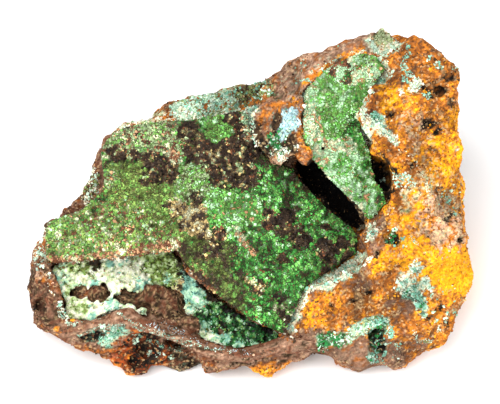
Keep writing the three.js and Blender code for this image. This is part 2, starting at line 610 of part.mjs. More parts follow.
// The origin is under the middle of the piece, on the flat of its base.
const specimen = new THREE.Group();
specimen.add(leaned);
leaned.position.z = FACE_HEIGHT;
const middle = new THREE.Box3().setFromObject(specimen, true).getCenter(new THREE.Vector3());
leaned.position.x = -middle.x;
leaned.position.y = -middle.y;

export default specimen;
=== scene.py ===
"""A conichalcite specimen: green crystal crusts in the opened cavities of a chunk of limonite."""

import math
import random

import bmesh
import bpy
import numpy as np
from mathutils import Matrix, Vector, noise
from mathutils.bvhtree import BVHTree


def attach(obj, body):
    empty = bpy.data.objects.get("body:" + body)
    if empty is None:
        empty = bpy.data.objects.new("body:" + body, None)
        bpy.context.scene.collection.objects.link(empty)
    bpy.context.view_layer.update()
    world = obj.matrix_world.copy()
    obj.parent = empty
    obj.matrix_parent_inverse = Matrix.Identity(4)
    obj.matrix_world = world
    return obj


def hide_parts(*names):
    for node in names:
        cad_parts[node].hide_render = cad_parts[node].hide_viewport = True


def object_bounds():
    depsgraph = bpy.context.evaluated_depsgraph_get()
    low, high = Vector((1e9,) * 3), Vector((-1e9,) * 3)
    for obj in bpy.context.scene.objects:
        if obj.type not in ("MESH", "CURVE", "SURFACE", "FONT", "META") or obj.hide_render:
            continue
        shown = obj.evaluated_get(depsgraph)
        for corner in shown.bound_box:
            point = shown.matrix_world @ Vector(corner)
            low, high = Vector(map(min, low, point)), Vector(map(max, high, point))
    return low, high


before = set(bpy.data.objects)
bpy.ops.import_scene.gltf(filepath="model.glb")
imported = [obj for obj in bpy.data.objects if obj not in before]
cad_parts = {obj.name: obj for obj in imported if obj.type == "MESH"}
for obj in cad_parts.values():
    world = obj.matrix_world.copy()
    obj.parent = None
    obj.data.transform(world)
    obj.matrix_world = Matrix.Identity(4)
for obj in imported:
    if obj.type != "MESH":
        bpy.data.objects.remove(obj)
cad_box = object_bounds()
scene = bpy.context.scene


# ------------------------------------------------------------------ the rock
# The matrix is one broken chunk of limonite, an earthy iron hydroxide, with harder goethite in
# it. Its display face leans back; its skin is crumbly, pitted and stained from rust to golden
# ochre, with mauve-brown layers along the lower rim and mint specks of copper carbonates.

LEAN = math.radians(40)
FACE_MIDDLE = Vector((0.00028, -0.0026, 0.0165))
MM = 0.001
standing = Matrix.Translation(FACE_MIDDLE) @ Matrix.Rotation(LEAN, 4, "X") @ Matrix.Scale(MM, 4)
laid_flat = standing.inverted()
OUTWARDS = (standing.to_3x3() @ Vector((0, 0, 1))).normalized()


def corner_rows(mesh):
    """The vertices as rows of x, y, z, in metres."""
    corners = np.empty(len(mesh.vertices) * 3)
    mesh.vertices.foreach_get("co", corners)
    return corners.reshape(-1, 3)


def face_places(mesh):
    """The vertices as rows of u, v, w: millimetres across, up and out of the display face."""
    turn = np.array(laid_flat)
    return corner_rows(mesh) @ turn[:3, :3].T + turn[:3, 3]


def linear(hex_colour):
    """An sRGB hex value as linear red, green and blue; an empty one is no colour at all."""
    if not hex_colour:
        return np.full(3, np.nan)
    channels = [int(hex_colour[i:i + 2], 16) / 255 for i in (1, 3, 5)]
    return np.array([c / 12.92 if c <= 0.04045 else ((c + 0.055) / 1.055) ** 2.4 for c in channels])


def add_node(tree, kind, settings=(), **links):
    """A new shader node, with its settings by attribute or socket name and its linked inputs."""
    node = tree.nodes.new("ShaderNode" + kind)
    for name, value in dict(settings).items():
        if name in node.inputs:
            node.inputs[name].default_value = value
        else:
            setattr(node, name, value)
    for name, output in links.items():
        tree.links.new(output, node.inputs[name.replace("_", " ")])
    return node


def solid_copy(node_name, piece_name):
    """A new piece with a merged copy of a CAD solid's mesh."""
    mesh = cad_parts[node_name].data.copy()
    mesh.materials.clear()
    work = bmesh.new()
    work.from_mesh(mesh)
    bmesh.ops.remove_doubles(work, verts=work.verts, dist=0.001 * MM)
    work.to_mesh(mesh)
    work.free()
    piece = bpy.data.objects.new(piece_name, mesh)
    scene.collection.objects.link(piece)
    return piece


def reskin(piece, grain, rounds):
    """Replaces a piece's mesh by an even skin of small faces, worn smooth by some rounds."""
    skin = piece.modifiers.new("skin", "REMESH")
    skin.mode = "VOXEL"
    skin.voxel_size = grain * MM
    worn = piece.modifiers.new("worn", "SMOOTH")
    worn.factor = 0.5
    worn.iterations = rounds
    shaped = piece.evaluated_get(bpy.context.evaluated_depsgraph_get())
    mesh = bpy.data.meshes.new_from_object(shaped)
    piece.modifiers.clear()
    piece.data = mesh
    mesh.name = piece.name


def move_vertices(piece, moves):
    """Moves each vertex along its normal by its number of millimetres, inside the CAD box."""
    mesh = piece.data
    normals = np.empty(len(mesh.vertices) * 3)
    mesh.vertex_normals.foreach_get("vector", normals)
    moved = corner_rows(mesh) + normals.reshape(-1, 3) * np.asarray(moves)[:, None] * MM
    moved = np.clip(moved, np.array(cad_box[0]), np.array(cad_box[1]))
    mesh.vertices.foreach_set("co", moved.ravel())
    mesh.update()


def paint(mesh, colours, speckle=1):
    """Stores a linear colour at each vertex for the materials to read, and how speckled it is there."""
    layer = mesh.color_attributes.new("stain", "FLOAT_COLOR", "POINT")
    rgba = np.empty((len(mesh.vertices), 4))
    rgba[:, :3] = colours
    rgba[:, 3] = speckle
    layer.data.foreach_set("color", rgba.ravel())


def land_on(bed, spots):
    """Where spots (u, v, size), moved straight at the open side of a bed, land, with the normals."""
    corners = [vertex.co.copy() for vertex in bed.data.vertices]
    tree = BVHTree.FromPolygons(corners, [face.vertices[:] for face in bed.data.polygons])
    nearest = face_places(bed.data)[:, 2].max() + 2
    found = []
    for u, v, size in spots:
        hit, normal, _, _ = tree.ray_cast(standing @ Vector((u, v, nearest)), -OUTWARDS)
        if hit:
            found.append((hit, normal, size))
    return found


def find_places(bed, pitch, seed, sizes, keep=None):
    """Places on the open side of a bed, about one pitch apart, each with its normal and a size."""
    seeded = random.Random(seed)
    places = face_places(bed.data)
    low, high = places.min(axis=0), places.max(axis=0)
    spots = []
    for v in np.arange(low[1], high[1], pitch):
        for u in np.arange(low[0], high[0], pitch):
            spot = (u + seeded.uniform(0, pitch), v + seeded.uniform(0, pitch))
            size = sizes[0] + (sizes[1] - sizes[0]) * seeded.random() ** 2
            if keep is None or keep(*spot, seeded):
                spots.append((*spot, size))
    return land_on(bed, spots)


def join_balls(bed, found, sink):
    """Joins balls to a bed's mesh, each sunk into it by a share of its size."""
    work = bmesh.new()
    work.from_mesh(bed.data)
    for place, normal, size in found:
        middle = place - normal * size * sink * MM
        bmesh.ops.create_icosphere(work, subdivisions=2, radius=size * MM,
                                   matrix=Matrix.Translation(middle))
    work.to_mesh(bed.data)
    work.free()


def smoothstep(low, high, x):
    """How far x has come from low to high, from 0 to 1, with a soft start and end."""
    t = np.clip((x - low) / (high - low), 0, 1)
    return t * t * (3 - 2 * t)


def along(path, reach):
    """Spots of one reach, strung along a path without gaps."""
    spots = []
    for (u, v), (next_u, next_v) in zip(path, path[1:]):
        steps = max(1, round(math.hypot(next_u - u, next_v - v) / (0.8 * reach)))
        for i in range(steps + 1):
            spots.append((u + (next_u - u) * i / steps, v + (next_v - v) * i / steps, reach))
    return spots


noise.seed_set(3)  # of noise_vector, whose draws would otherwise follow the clock


def ragged(places, reach):
    """The places shifted by a wandering amount of millimetres, which frays the borders of spots."""
    shifts = []
    for place in map(Vector, places):
        shifts.append(noise.noise_vector(place / 1.9) * reach + noise.noise_vector(place / 0.6) * reach / 2)
    return places + np.array(shifts)


def mineral_shares(places, grounds, palette):
    """The share of each mineral at each place.

    Each ground is a mixture of minerals in percent, the rest of it bare, a strength, and the spots
    (u, v, reach) where it lies.
    """
    names = list(palette)
    shares = np.zeros((len(places), len(names)))
    for mixture, strength, spots in grounds:
        named = [part.rsplit(" ", 1) for part in mixture.split(", ")]
        parts = {name: int(percent) for name, percent in named}
        parts.setdefault("bare", 100 - sum(parts.values()))
        share = np.array([parts.get(name, 0) / 100 for name in names])
        for u, v, reach in spots:
            away = ((places[:, 0] - u) ** 2 + (places[:, 1] - v) ** 2) / reach ** 2
            shares += (strength * np.exp(-away ** 1.5))[:, None] * share
    return shares / shares.sum(axis=1, keepdims=True)


def evenly(values):
    """The values by rank, spread evenly from 0 to 1."""
    return np.argsort(np.argsort(values)) / len(values)


def pick_colours(shares, chances, palette, softness=0.0):
    """The colour of the mineral that a chance from 0 to 1 picks out of the shares at each place."""
    colours = np.array([linear(colour) for colour in palette.values()])
    blend = np.zeros((len(chances), 3))
    for shift in (-softness, 0, softness):
        picked = (shares.cumsum(axis=1) < np.clip(chances + shift, 0.02, 0.98)[:, None]).sum(axis=1)
        blend += colours[np.minimum(picked, len(colours) - 1)] / 3
    return blend


ROCK_STAINS = {
    "ochre": "#f1a310", "orange": "#cc7a26", "rust": "#96561f", "red ochre": "#8e3d14", "liver": "#653c28",
    "mauve": "#8c6852", "pink": "#d0a88a", "sand": "#d0ad78", "cream": "#e8dcb4", "mint": "#b9dbbb",
    "aqua": "#7fb298", "ice": "#a9ccd2", "teal": "#43705d", "moss": "#7f9158", "leaf": "#5f9044",
    "emerald": "#2f8544", "umber": "#46331f", "black": "#150f09",
}
# mint carbonates in the seams between the crusts and the rock: under the shoulder's lower end, left of
# the shoulder's top, and between the plate and the knob
MINT_SEAMS = along([
    (5.7, -17.6), (6.6, -15), (7.4, -12.9), (8.8, -11.6), (11.2, -11.2), (12.6, -9.9), (14.6, -9),
    (16, -7.6)], 0.45)
MINT_SEAMS += along([
    (16.5, 15.4), (15.5, 14.4), (15.4, 13), (16, 11.6), (17.2, 10.9), (18.9, 9.5), (19.9, 8.4)], 0.42)
MINT_SEAMS += along([(0.3, 13.4), (-0.6, 12.2), (-0.4, 10.1), (0.6, 8)], 0.56)
MINT_SEAMS += [
    (16.9, -3.6, 0.6), (16.5, -4.8, 0.4), (16.8, 11.2, 0.6), (16.1, 9.9, 0.7), (16.4, 8.7, 0.4),
    (18.3, 19.5, 0.7), (19, 18.3, 0.6), (18.1, 17.4, 0.6), (23.1, 16.1, 0.7), (21, 15.5, 0.4),
    (21.1, -11.2, 0.7), (22.8, -9, 0.6), (24.4, -11.6, 0.7), (21.7, -10.5, 0.6)]
# black goethite nodules on the floor of the lower hollow
GOETHITE = [
    (-17.2, -13.4, 1.3), (-14.7, -13.4, 1.5), (-11.9, -14.4, 1.7), (-8.7, -16.5, 1.5), (-24.5, -12.3, 0.7),
    (-21.4, -13.2, 1.1)]
# open pits in the shoulder and the left end, painted black as the shade inside them
PITS = [
    (19.3, 12.5, 0.5), (24.9, 11.1, 0.5), (26, 9.9, 0.4), (26.7, 15.5, 0.6), (25.3, 15, 0.4),
    (28.3, 17.5, 0.6), (22.3, 5.2, 0.5), (26.5, 1.7, 0.4), (29.1, -5.3, 0.4), (27.4, -2.2, 0.4),
    (25.2, 7.6, 0.28), (19.5, -4.9, 0.6), (-29.4, -14.3, 0.6), (17.4, -7, 0.4), (24.5, 16, 0.4),
    (14, -13.7, 0.4), (16.2, -12.6, 0.4), (11.2, -14.4, 0.28), (26, -15.1, 0.4), (24.9, -16.2, 0.4),
    (27.4, -16.8, 0.4), (17.6, -18.2, 0.7), (17.8, -19.6, 0.7), (1.7, 11.3, 0.4)]
# sage-green nest of grains on the peak, with a mint ring round it
PEAK_NEST = [(18.8, 23.5, 0.7), (19.2, 22.5, 0.7)]
PEAK_RING = along([(16.8, 23), (17.4, 22), (18.8, 21.3), (20, 21.7), (20.7, 22.8)], 0.34)
# bare broken edge of the plate on its upper left
LEFT_STRIP = along([(-20.3, 9.7), (-21, 8), (-21.3, 5.9), (-21.1, 3.6), (-20.9, 1.7)], 0.63)
RIM_PATH = [(-25.5, -18.2), (-21, -16.8), (-17.5, -15.8), (-10.5, -18.5), (-2.8, -21), (8.7, -20)]
ROCK_GROUNDS = [
    ("orange 8, rust 42, mauve 20, sand 5, umber 25", 0.02, [(0, 0, 60)]),
    # broad ground colours: the shoulder, the rim and the left end
    ("ochre 30, orange 37, rust 27, umber 6", 0.2, [
        (25.2, 12.9, 8.4), (25.2, 3.1, 7.7), (23.8, -8.1, 8.4), (14, -13.7, 7), (26.6, -16.5, 6.3)]),
    ("liver 25, mauve 35, rust 10, pink 10, umber 20", 0.2, [
        (-29.4, -12.3, 4.2), (-23.8, -17.9, 5.6), (-14, -17.9, 5.6), (-4.2, -20.7, 5.6), (5.6, -20.7, 4.9),
        (14, -21.4, 4.2), (-26.6, -2.5, 3.5), (-21.7, 5.9, 3.5), (7, 18.5, 5.6), (14, 22, 4.2),
        (1.7, 12.6, 3.5)]),
    # the shoulder
    ("ochre 93, orange 7", 5, [(28.3, -9.8, 2.5), (30, -9, 1.5), (26.6, -9.5, 1.4)]),
    ("ochre 70, orange 20, rust 10", 2, [
        (21, -4.5, 1.7), (21.7, -6.7, 1.8), (22.7, -8.4, 1.4), (24.1, -6.4, 1.1), (18.8, 15.4, 1.3),
        (19, 13.7, 1.1), (29, 10.1, 1.4), (26.6, 8.7, 1.5), (28.3, 7.3, 1.7), (27.7, 11.5, 1.3),
        (23.1, -1.8, 1.3), (25.2, 5.2, 1.1), (27.4, 3.8, 1.3)]),
    ("ochre 57, orange 30, rust 8, cream 5", 1.2, [
        (28.7, 2.4, 2), (28.7, -0.4, 1.4), (23.8, 8.7, 1.7), (21, 11.5, 1.7), (20.3, -1.8, 1.7),
        (18.8, -8.4, 1.4)]),
    ("ochre 4, orange 40, rust 44, sand 12", 2.5, [
        (28, -14, 1.8), (25.8, -14.6, 1.4), (29.7, -16, 1.3), (18.8, -11.2, 1.5), (17.1, -12.3, 1.3),
        (16.1, -10.9, 1.1), (25.6, -12.6, 0.8)]),
    ("ochre 8, orange 42, rust 38, sand 7, cream 2, umber 3", 1.5, [
        (24.5, 12.9, 2.8), (26.6, 17.8, 3.1), (21.7, 12.9, 1.7), (21, 9.4, 1.3)]),
    ("orange 36, rust 50, umber 4, mauve 10", 2, [
        (22.7, 20.6, 2.5), (20.7, 18.5, 1.7), (25.2, 20.6, 2)]),
    ("orange 15, rust 45, umber 35, sand 5", 2, [(26.6, 14.6, 1.7), (28.7, 15.4, 1.3), (25.2, 16, 1)]),
    ("orange 10, rust 12, pink 42, sand 20, cream 10, umber 6", 5, [
        (24.9, -1.8, 1.7), (26.6, -3.2, 1.8), (25.2, 0.3, 1.3), (28, -5, 1.4), (26.2, -5.7, 1.1),
        (27.4, -6.9, 0.7)]),
    ("ochre 42, orange 33, rust 15, sand 10", 1.7, [(22.4, 5.2, 2), (21, 3.1, 1.4)]),
    ("ochre 15, orange 25, sand 28, cream 25, leaf 7", 3, [
        (22.7, 1, 1.7), (24.5, 2.8, 1.4), (21.6, -0.4, 1.1)]),
    ("orange 35, rust 15, pink 25, sand 25", 3, [(21.6, 10.6, 1.3), (23.5, 11.2, 1), (22.7, 8.4, 0.8)]),
    ("rust 70, orange 30", 6, along([(18.6, 8.7), (20.3, 7), (21.8, 5.2), (22.5, 4.1)], 0.56)
        + along([(20.2, 3.1), (20.3, 1), (20.9, -0.7)], 0.49)),
    ("mauve 50, cream 30, ice 20", 7, [(28.4, 7.8, 0.6)]),
    ("mauve 60, rust 40", 6, [(17.6, -2.8, 0.8), (17.4, -5.3, 0.8)]),
    ("ochre 6, orange 38, rust 50, sand 6", 3, [
        (14.3, -12.6, 2), (16.5, -14, 1.8), (19.3, -16, 1.7), (13.3, -10.1, 1.1), (11.9, -16.8, 1.1),
        (25.2, -16.8, 1.7), (27.6, -18.2, 1.7)]),
    ("ochre 30, orange 50, rust 10, umber 10", 5, [
        (9.2, -15.4, 1.3), (10.4, -13.7, 1), (24.5, -18.3, 0.7)]),
    ("rust 40, mauve 35, orange 25", 3, [(20.7, -17.2, 1.3), (23.1, -20, 1.4), (22.1, -21.8, 1)]),
    ("mauve 55, rust 45", 6, [
        (21.6, -14.7, 1.3), (16.2, -6, 1), (15.8, -8.7, 0.7), (16.7, -4.2, 0.6), (8.7, -12.9, 0.7),
        (18.9, -14.4, 0.7)] + along([(12, -11.1), (14.3, -10.8), (16.5, -11.3)], 0.7)),
    ("rust 70, orange 30", 5, [(21.4, -16.8, 1.3), (18.8, -10.9, 0.7)]),
    ("rust 60, liver 25, orange 15", 8, [(16.8, 16, 0.7), (16.8, 14.6, 0.8), (16.9, 12.9, 0.8)]),
    ("aqua 50, mint 30, teal 20", 7, [
        (22.4, -12.5, 0.7), (23.4, -14.1, 0.7), (23.8, -15.3, 0.4), (18.1, -16.8, 0.8), (16.9, -21.3, 0.7),
        (17.6, 11.5, 0.6)]),
    ("mint 50, leaf 40, cream 10", 6, along([(13.7, -18.6), (15.1, -17.6), (16.8, -16.5)], 0.49)),
    ("emerald 42, mint 15, umber 43", 7, [
        (10.1, -19.6, 0.7), (11.5, -19, 0.8), (12.9, -18.8, 0.6), (3.5, 8.4, 0.8), (4.5, 7.4, 0.4)]),
    ("ice 85, aqua 15", 14, [(6, 12.5, 0.6), (5.6, 11.5, 0.8), (5.5, 10.4, 0.7), (4.8, 9.9, 0.6)]),
    ("mauve 67, pink 8, rust 17, umber 8", 5, [
        (14, -21, 2.4), (16.1, -22.4, 1.7), (19.6, -22, 1.5), (14.3, -19.3, 1), (19, -20, 0.7)]),
    # painted shade: the green-lined pits are painted partly black for the shade inside them
    ("leaf 15, emerald 10, teal 35, black 40", 40, [
        (17.6, -18.2, 0.8), (17.8, -19.6, 0.8), (19.5, -4.9, 0.6)]),
    # painted shade: black in the pits
    ("black 70, umber 30", 12, PITS),
    # the crest and the knob
    ("rust 14, mauve 50, pink 31, aqua 3, umber 2", 4, [
        (7, 17.4, 2.2), (10.5, 20.4, 2.2), (14, 21.6, 2), (4.9, 15.4, 1.4), (16.1, 22, 1.4)]),
    ("ochre 20, orange 60, pink 20", 9, along([
        (7.3, 16.5), (9.1, 17.9), (10.9, 19), (13.3, 20.2), (15.7, 21)], 0.56)),
    ("rust 70, orange 30", 3, [(17.9, 20.9, 1.1), (19.9, 19.9, 0.8)]),
    ("rust 20, mauve 52, pink 10, aqua 4, umber 14", 5, [
        (2.5, 12.9, 1.4), (4.2, 14.3, 1.1), (2, 11.5, 1)]),
    ("orange 50, rust 50", 6, [(1.7, 11.8, 0.6), (2.8, 12.6, 0.7), (4.1, 13.4, 0.7), (5.3, 13.9, 0.6)]),
    ("umber 60, black 40", 50, [
        (0.6, 10.2, 0.6), (0.8, 9, 0.6), (1.4, 7.7, 0.6), (2.2, 6.4, 0.4), (3.8, 11.6, 0.4),
        (3.4, 10.6, 0.4), (6.4, 8.3, 0.4), (5.9, 7.3, 0.4), (4.9, 8.5, 0.4)]),
    ("pink 30, mauve 50, umber 20", 6, [(4.3, 5.6, 0.8), (5.2, 6.2, 0.6)]),
    ("rust 50, mauve 50", 4, along([(7, 15.4), (6.9, 12.9), (7, 10.1), (7.4, 5.9)], 0.56)),
    ("ochre 40, orange 60", 8, along([
        (7.4, 10.5), (7.7, 7.7), (9.7, 8.4)], 0.45)
        + [(6.6, 14.3, 0.5)]),
    # the back ledge and the left side
    ("rust 18, mint 47, aqua 20, moss 15", 4, [
        (-9.5, 13.3, 1.1), (-6.3, 13.9, 1.7), (-3.5, 14.7, 1.4)]),
    ("orange 60, rust 40", 4, [(-11.5, 12.3, 0.7), (-0.6, 14, 0.8), (0.8, 14.7, 0.7)]),
    ("moss 30, rust 25, teal 10, umber 35", 3, [(-0.7, 15.7, 1.3), (2.1, 15.7, 1.3)]),
    ("moss 30, mint 15, rust 25, cream 30", 3, along([(-20.2, 9.8), (-17.5, 11.2), (-12.6, 12)], 0.7)),
    ("liver 30, mauve 70", 20, LEFT_STRIP),
    ("sand 25, cream 30, moss 45", 16, PEAK_NEST),
    ("cream 30, mint 70", 12, PEAK_RING),
    ("cream 40, mint 38, aqua 8, rust 14", 6, MINT_SEAMS),
    ("black 70, umber 30", 8, [(-22, 4.2, 0.4)]),
    ("liver 45, mauve 30, umber 25", 4, along([
        (-23.1, -0.8), (-25.2, -2), (-28.7, -2.8)], 0.7)),
    ("orange 15, rust 50, pink 35", 6, [(-29.7, -9.7, 0.4), (-29, -10.5, 0.4)]),
    ("liver 35, mauve 20, umber 38, black 7", 9, [
        (-30.8, -11.2, 1), (-30, -12.3, 1.4), (-28.7, -13.7, 1.5), (-27.4, -16, 1.4), (-29.7, -15.4, 1.1)]),
    # the plate's broken lower edge
    ("mauve 50, umber 42, black 8", 9, along([
        (-28.3, -8.4), (-19.6, -7.8), (-10.4, -6.7), (-7.3, -11.2), (-3.5, -15.4), (5.6, -18.8)], 0.56)),
    # the lower rim and the toes
    ("liver 25, mauve 42, pink 12, umber 21", 3, along(RIM_PATH, 1.26)),
    ("ochre 20, orange 40, rust 40", 6, [(-26.5, -17.9, 0.4), (-24.5, -16.7, 0.28)]),
    ("ochre 10, orange 50, rust 20, umber 20", 3, [
        (3.1, -23.2, 1), (4.9, -22.3, 0.7), (1.1, -23.2, 0.7)]),
    ("teal 40, aqua 10, black 50", 7, [(-22.4, -18.3, 0.7), (-21.3, -18.2, 0.6)]),
    ("teal 35, aqua 45, mint 20", 8, [(-19.9, -18.9, 0.8), (-19, -18.3, 0.7), (-18.1, -17.9, 0.6)]),
    ("red ochre 36, orange 5, umber 19, black 40", 10, [
        (-15.1, -19.7, 1.7), (-13.3, -20.7, 1.4), (-17.1, -22.1, 1.3), (-15.7, -23, 1.1),
        (-14, -22.1, 1.3)]),
    ("orange 70, red ochre 30", 10, [(-18.1, -23.2, 0.6), (-16.7, -24.1, 0.6), (-17.1, -21.6, 0.4)]),
    ("liver 20, umber 45, teal 10, black 25", 4, [(-10.1, -21.8, 1.5), (-8.4, -22.4, 1.1)]),
    # inside the lower hollow, the cleft and the void
    ("liver 28, mauve 14, sand 5, umber 41, black 12", 16, GOETHITE),
    # painted shade: black in the depths of the cleft and the void
    ("umber 25, black 75", 12, [
        (8.7, 4.2, 1), (9.8, 3.1, 1.3), (12.3, 0.8, 1.3), (14.7, -1.4, 1.3), (18.2, 4.2, 1.1),
        (18.8, 1.7, 0.8), (16.1, 8.1, 0.6)]),
]


LUMP_SIZE = 4.2  # millimetres, of the broken lumps of the skin
CRUMB_SIZE = 1.6
PINHOLE_SPACING = 1.3
POCKED_PATCH = 4.0
BACK_SWELL = 7.5
BACK_START = -12  # depth behind the face where the broader swells of the back set in


def rock_relief(place):
    """Height of the broken skin at a place, in millimetres."""
    lumps = 0.85 * noise.fractal(place / LUMP_SIZE, 1.0, 2.1, 3) - 0.2
    crumbs = 0.45 * (noise.turbulence(place / CRUMB_SIZE, 3, True) - 0.55)
    pinhole = noise.voronoi(place / PINHOLE_SPACING)[0][0]
    pocked = max(0.0, noise.noise(place / POCKED_PATCH) + 0.25)
    if place.z < BACK_START:
        lumps += 0.9 * min(1.0, (BACK_START - place.z) / 4) * noise.noise(place / BACK_SWELL)
    return lumps + crumbs - 2.2 * pocked * max(0.0, 0.3 - pinhole)


def layered_relief(place):
    """Height of the thin layers that run along the lower rim, in millimetres."""
    drawn_out = Vector((place.x * 0.14, place.y - 0.02 * place.x, place.z)) * 1.5
    return 0.45 * noise.fractal(drawn_out, 1.0, 2.0, 3)


# worn, almost even ochre on the shoulder
SMOOTH_SPOTS = [(28.3, -9.8, 3.6), (30, -8.4, 2), (21.6, -5.6, 2.2)]
# the hole under the lower rim
VUG = [
    (-16, -20.3, 1.1), (-14.3, -20.7, 1.4), (-12.9, -20.4, 1.1), (-16.8, -22.4, 1.3), (-14.6, -22.7, 1.3)]
# dense rock, with little grit
BARE_ROCK = GOETHITE + [
    (7, 17.4, 2.1), (10.1, 20.3, 1.8), (13.3, 21.7, 1.7), (16.1, 22.4, 1.4), (2.2, 12.6, 1.1),
    (4.2, 14.3, 1.1), (-21.1, 7.3, 0.8), (-21.3, 4.5, 0.7), (-20.6, 9.4, 0.7), (-29.7, -13, 1.5),
    (-27.7, -15.8, 1.3), (14.7, -20.7, 1.8), (16, -22.4, 1.7), (21.6, -14.8, 1.3), (15.7, -8.8, 0.8),
    (13.3, -10.9, 1), (19.3, -20.7, 1.1), (8.7, 17.8, 1.4)]
BARE_ROCK += along(RIM_PATH + [(14, -21)], 1.26)


def within(spots, u, v, share=1.0):
    """Whether a place is on one of the spots, or on a share of its reach."""
    return any(math.hypot(u - x, v - y) < share * reach for x, y, reach in spots)


def cover(spots, places):
    """How far spots cover places, from 0 to 1."""
    covers = [
        np.exp(-((places[:, 0] - u) ** 2 + (places[:, 1] - v) ** 2) / reach ** 2)
        for u, v, reach in spots
    ]
    return np.clip(sum(covers), 0, 1)


RIM_TOP = (-14.5, -17)  # v, over which the crumbly face turns into the layered lower rim
RIM_END = (8, 5)  # u, over which the layers begin
PIT_DEPTH = 0.9
OPEN_SIDE = (0, 0.4)  # how far the skin faces the viewer where pits are cut
BASE_BAND = (0.05, 1.0)  # heights above the table over which the flat base turns into rough skin

rock = solid_copy("limonite_rock", "rock")
nodules = find_places(rock, pitch=1.1, seed=33, sizes=(0.5, 1.0),
                      keep=lambda u, v, seeded: within(GOETHITE, u, v))
join_balls(rock, nodules, sink=0.45)
reskin(rock, grain=0.37, rounds=3)
rock_places = face_places(rock.data)
facing = np.array([vertex.normal[:] for vertex in rock.data.vertices]) @ np.array(OUTWARDS)
worn = cover(SMOOTH_SPOTS, rock_places)
botryoidal = cover(GOETHITE, rock_places)
rim = smoothstep(*RIM_TOP, rock_places[:, 1]) * smoothstep(*RIM_END, rock_places[:, 0])
rim = rim * (1 - cover(VUG, rock_places))
crumbly = np.array([rock_relief(Vector(place)) for place in rock_places])
layered = np.array([layered_relief(Vector(place)) for place in rock_places])
relief = ((1 - 0.7 * rim) * crumbly + rim * layered) * (1 - 0.65 * worn) * (1 - 0.6 * botryoidal)
relief -= PIT_DEPTH * cover(PITS, rock_places) * smoothstep(*OPEN_SIDE, facing)
heights = np.array([vertex.co.z for vertex in rock.data.vertices]) / MM
move_vertices(rock, relief * smoothstep(*BASE_BAND, heights))

STAIN_PATCH = 0.9  # millimetres, of the patches in which the minerals keep together
BACK_TURN = (-0.45, -0.1)  # how far the skin turns away before the face's stains give way to plain rock
# the cleft behind the main crust and the void under the shoulder, whose depths hardly see any light and are
# painted dark as shade
DEEP_PLACES = along([(8.1, 4.5), (11.2, 1.7), (15.1, -2)], 1.96) + [(18.2, 3.8, 2.2), (18.8, 1.4, 1.7)]
DARK_FROM = (1.5, 4)  # depth behind the face
DARK_UNTIL = (19, 15)

patchiness = np.array([noise.fractal(Vector(place) / STAIN_PATCH, 0.5, 2.2, 4) for place in rock_places])
chances = evenly((1 - 0.6 * rim) * patchiness - 1.6 * rim * layered - 0.55 * relief)
shares = mineral_shares(ragged(rock_places, 0.9), ROCK_GROUNDS, ROCK_STAINS)
front = smoothstep(*BACK_TURN, facing)[:, None]
shares = shares * front + mineral_shares(rock_places, ROCK_GROUNDS[:1], ROCK_STAINS) * (1 - front)
depth = -rock_places[:, 2]
deep = cover(DEEP_PLACES, rock_places) * smoothstep(*DARK_FROM, depth) * smoothstep(*DARK_UNTIL, depth)
# painted shade: the colour is darkened almost to black deep in the cleft and the void, its pale specks too,
# and the skin is painted lighter on its lumps and darker in its hollows
deep_shade = 1 - 0.98 * deep
light = deep_shade * (1 + 0.7 * np.clip(relief, -0.8, 0.4))
speckle = deep_shade * (1 - 0.8 * worn) * (1 - 0.75 * cover(BARE_ROCK, rock_places))
paint(rock.data, light[:, None] * pick_colours(shares, chances, ROCK_STAINS, 0.09), speckle)


def stained_material(name):
    """A new material that reads the stain: its tree, its shader, the place on the object and the stain."""
    material = bpy.data.materials.new(name)
    material.use_nodes = True
    tree = material.node_tree
    place = add_node(tree, "TexCoord").outputs["Object"]
    stain = add_node(tree, "Attribute", {"attribute_name": "stain"})
    return material, tree, tree.nodes["Principled BSDF"], place, stain


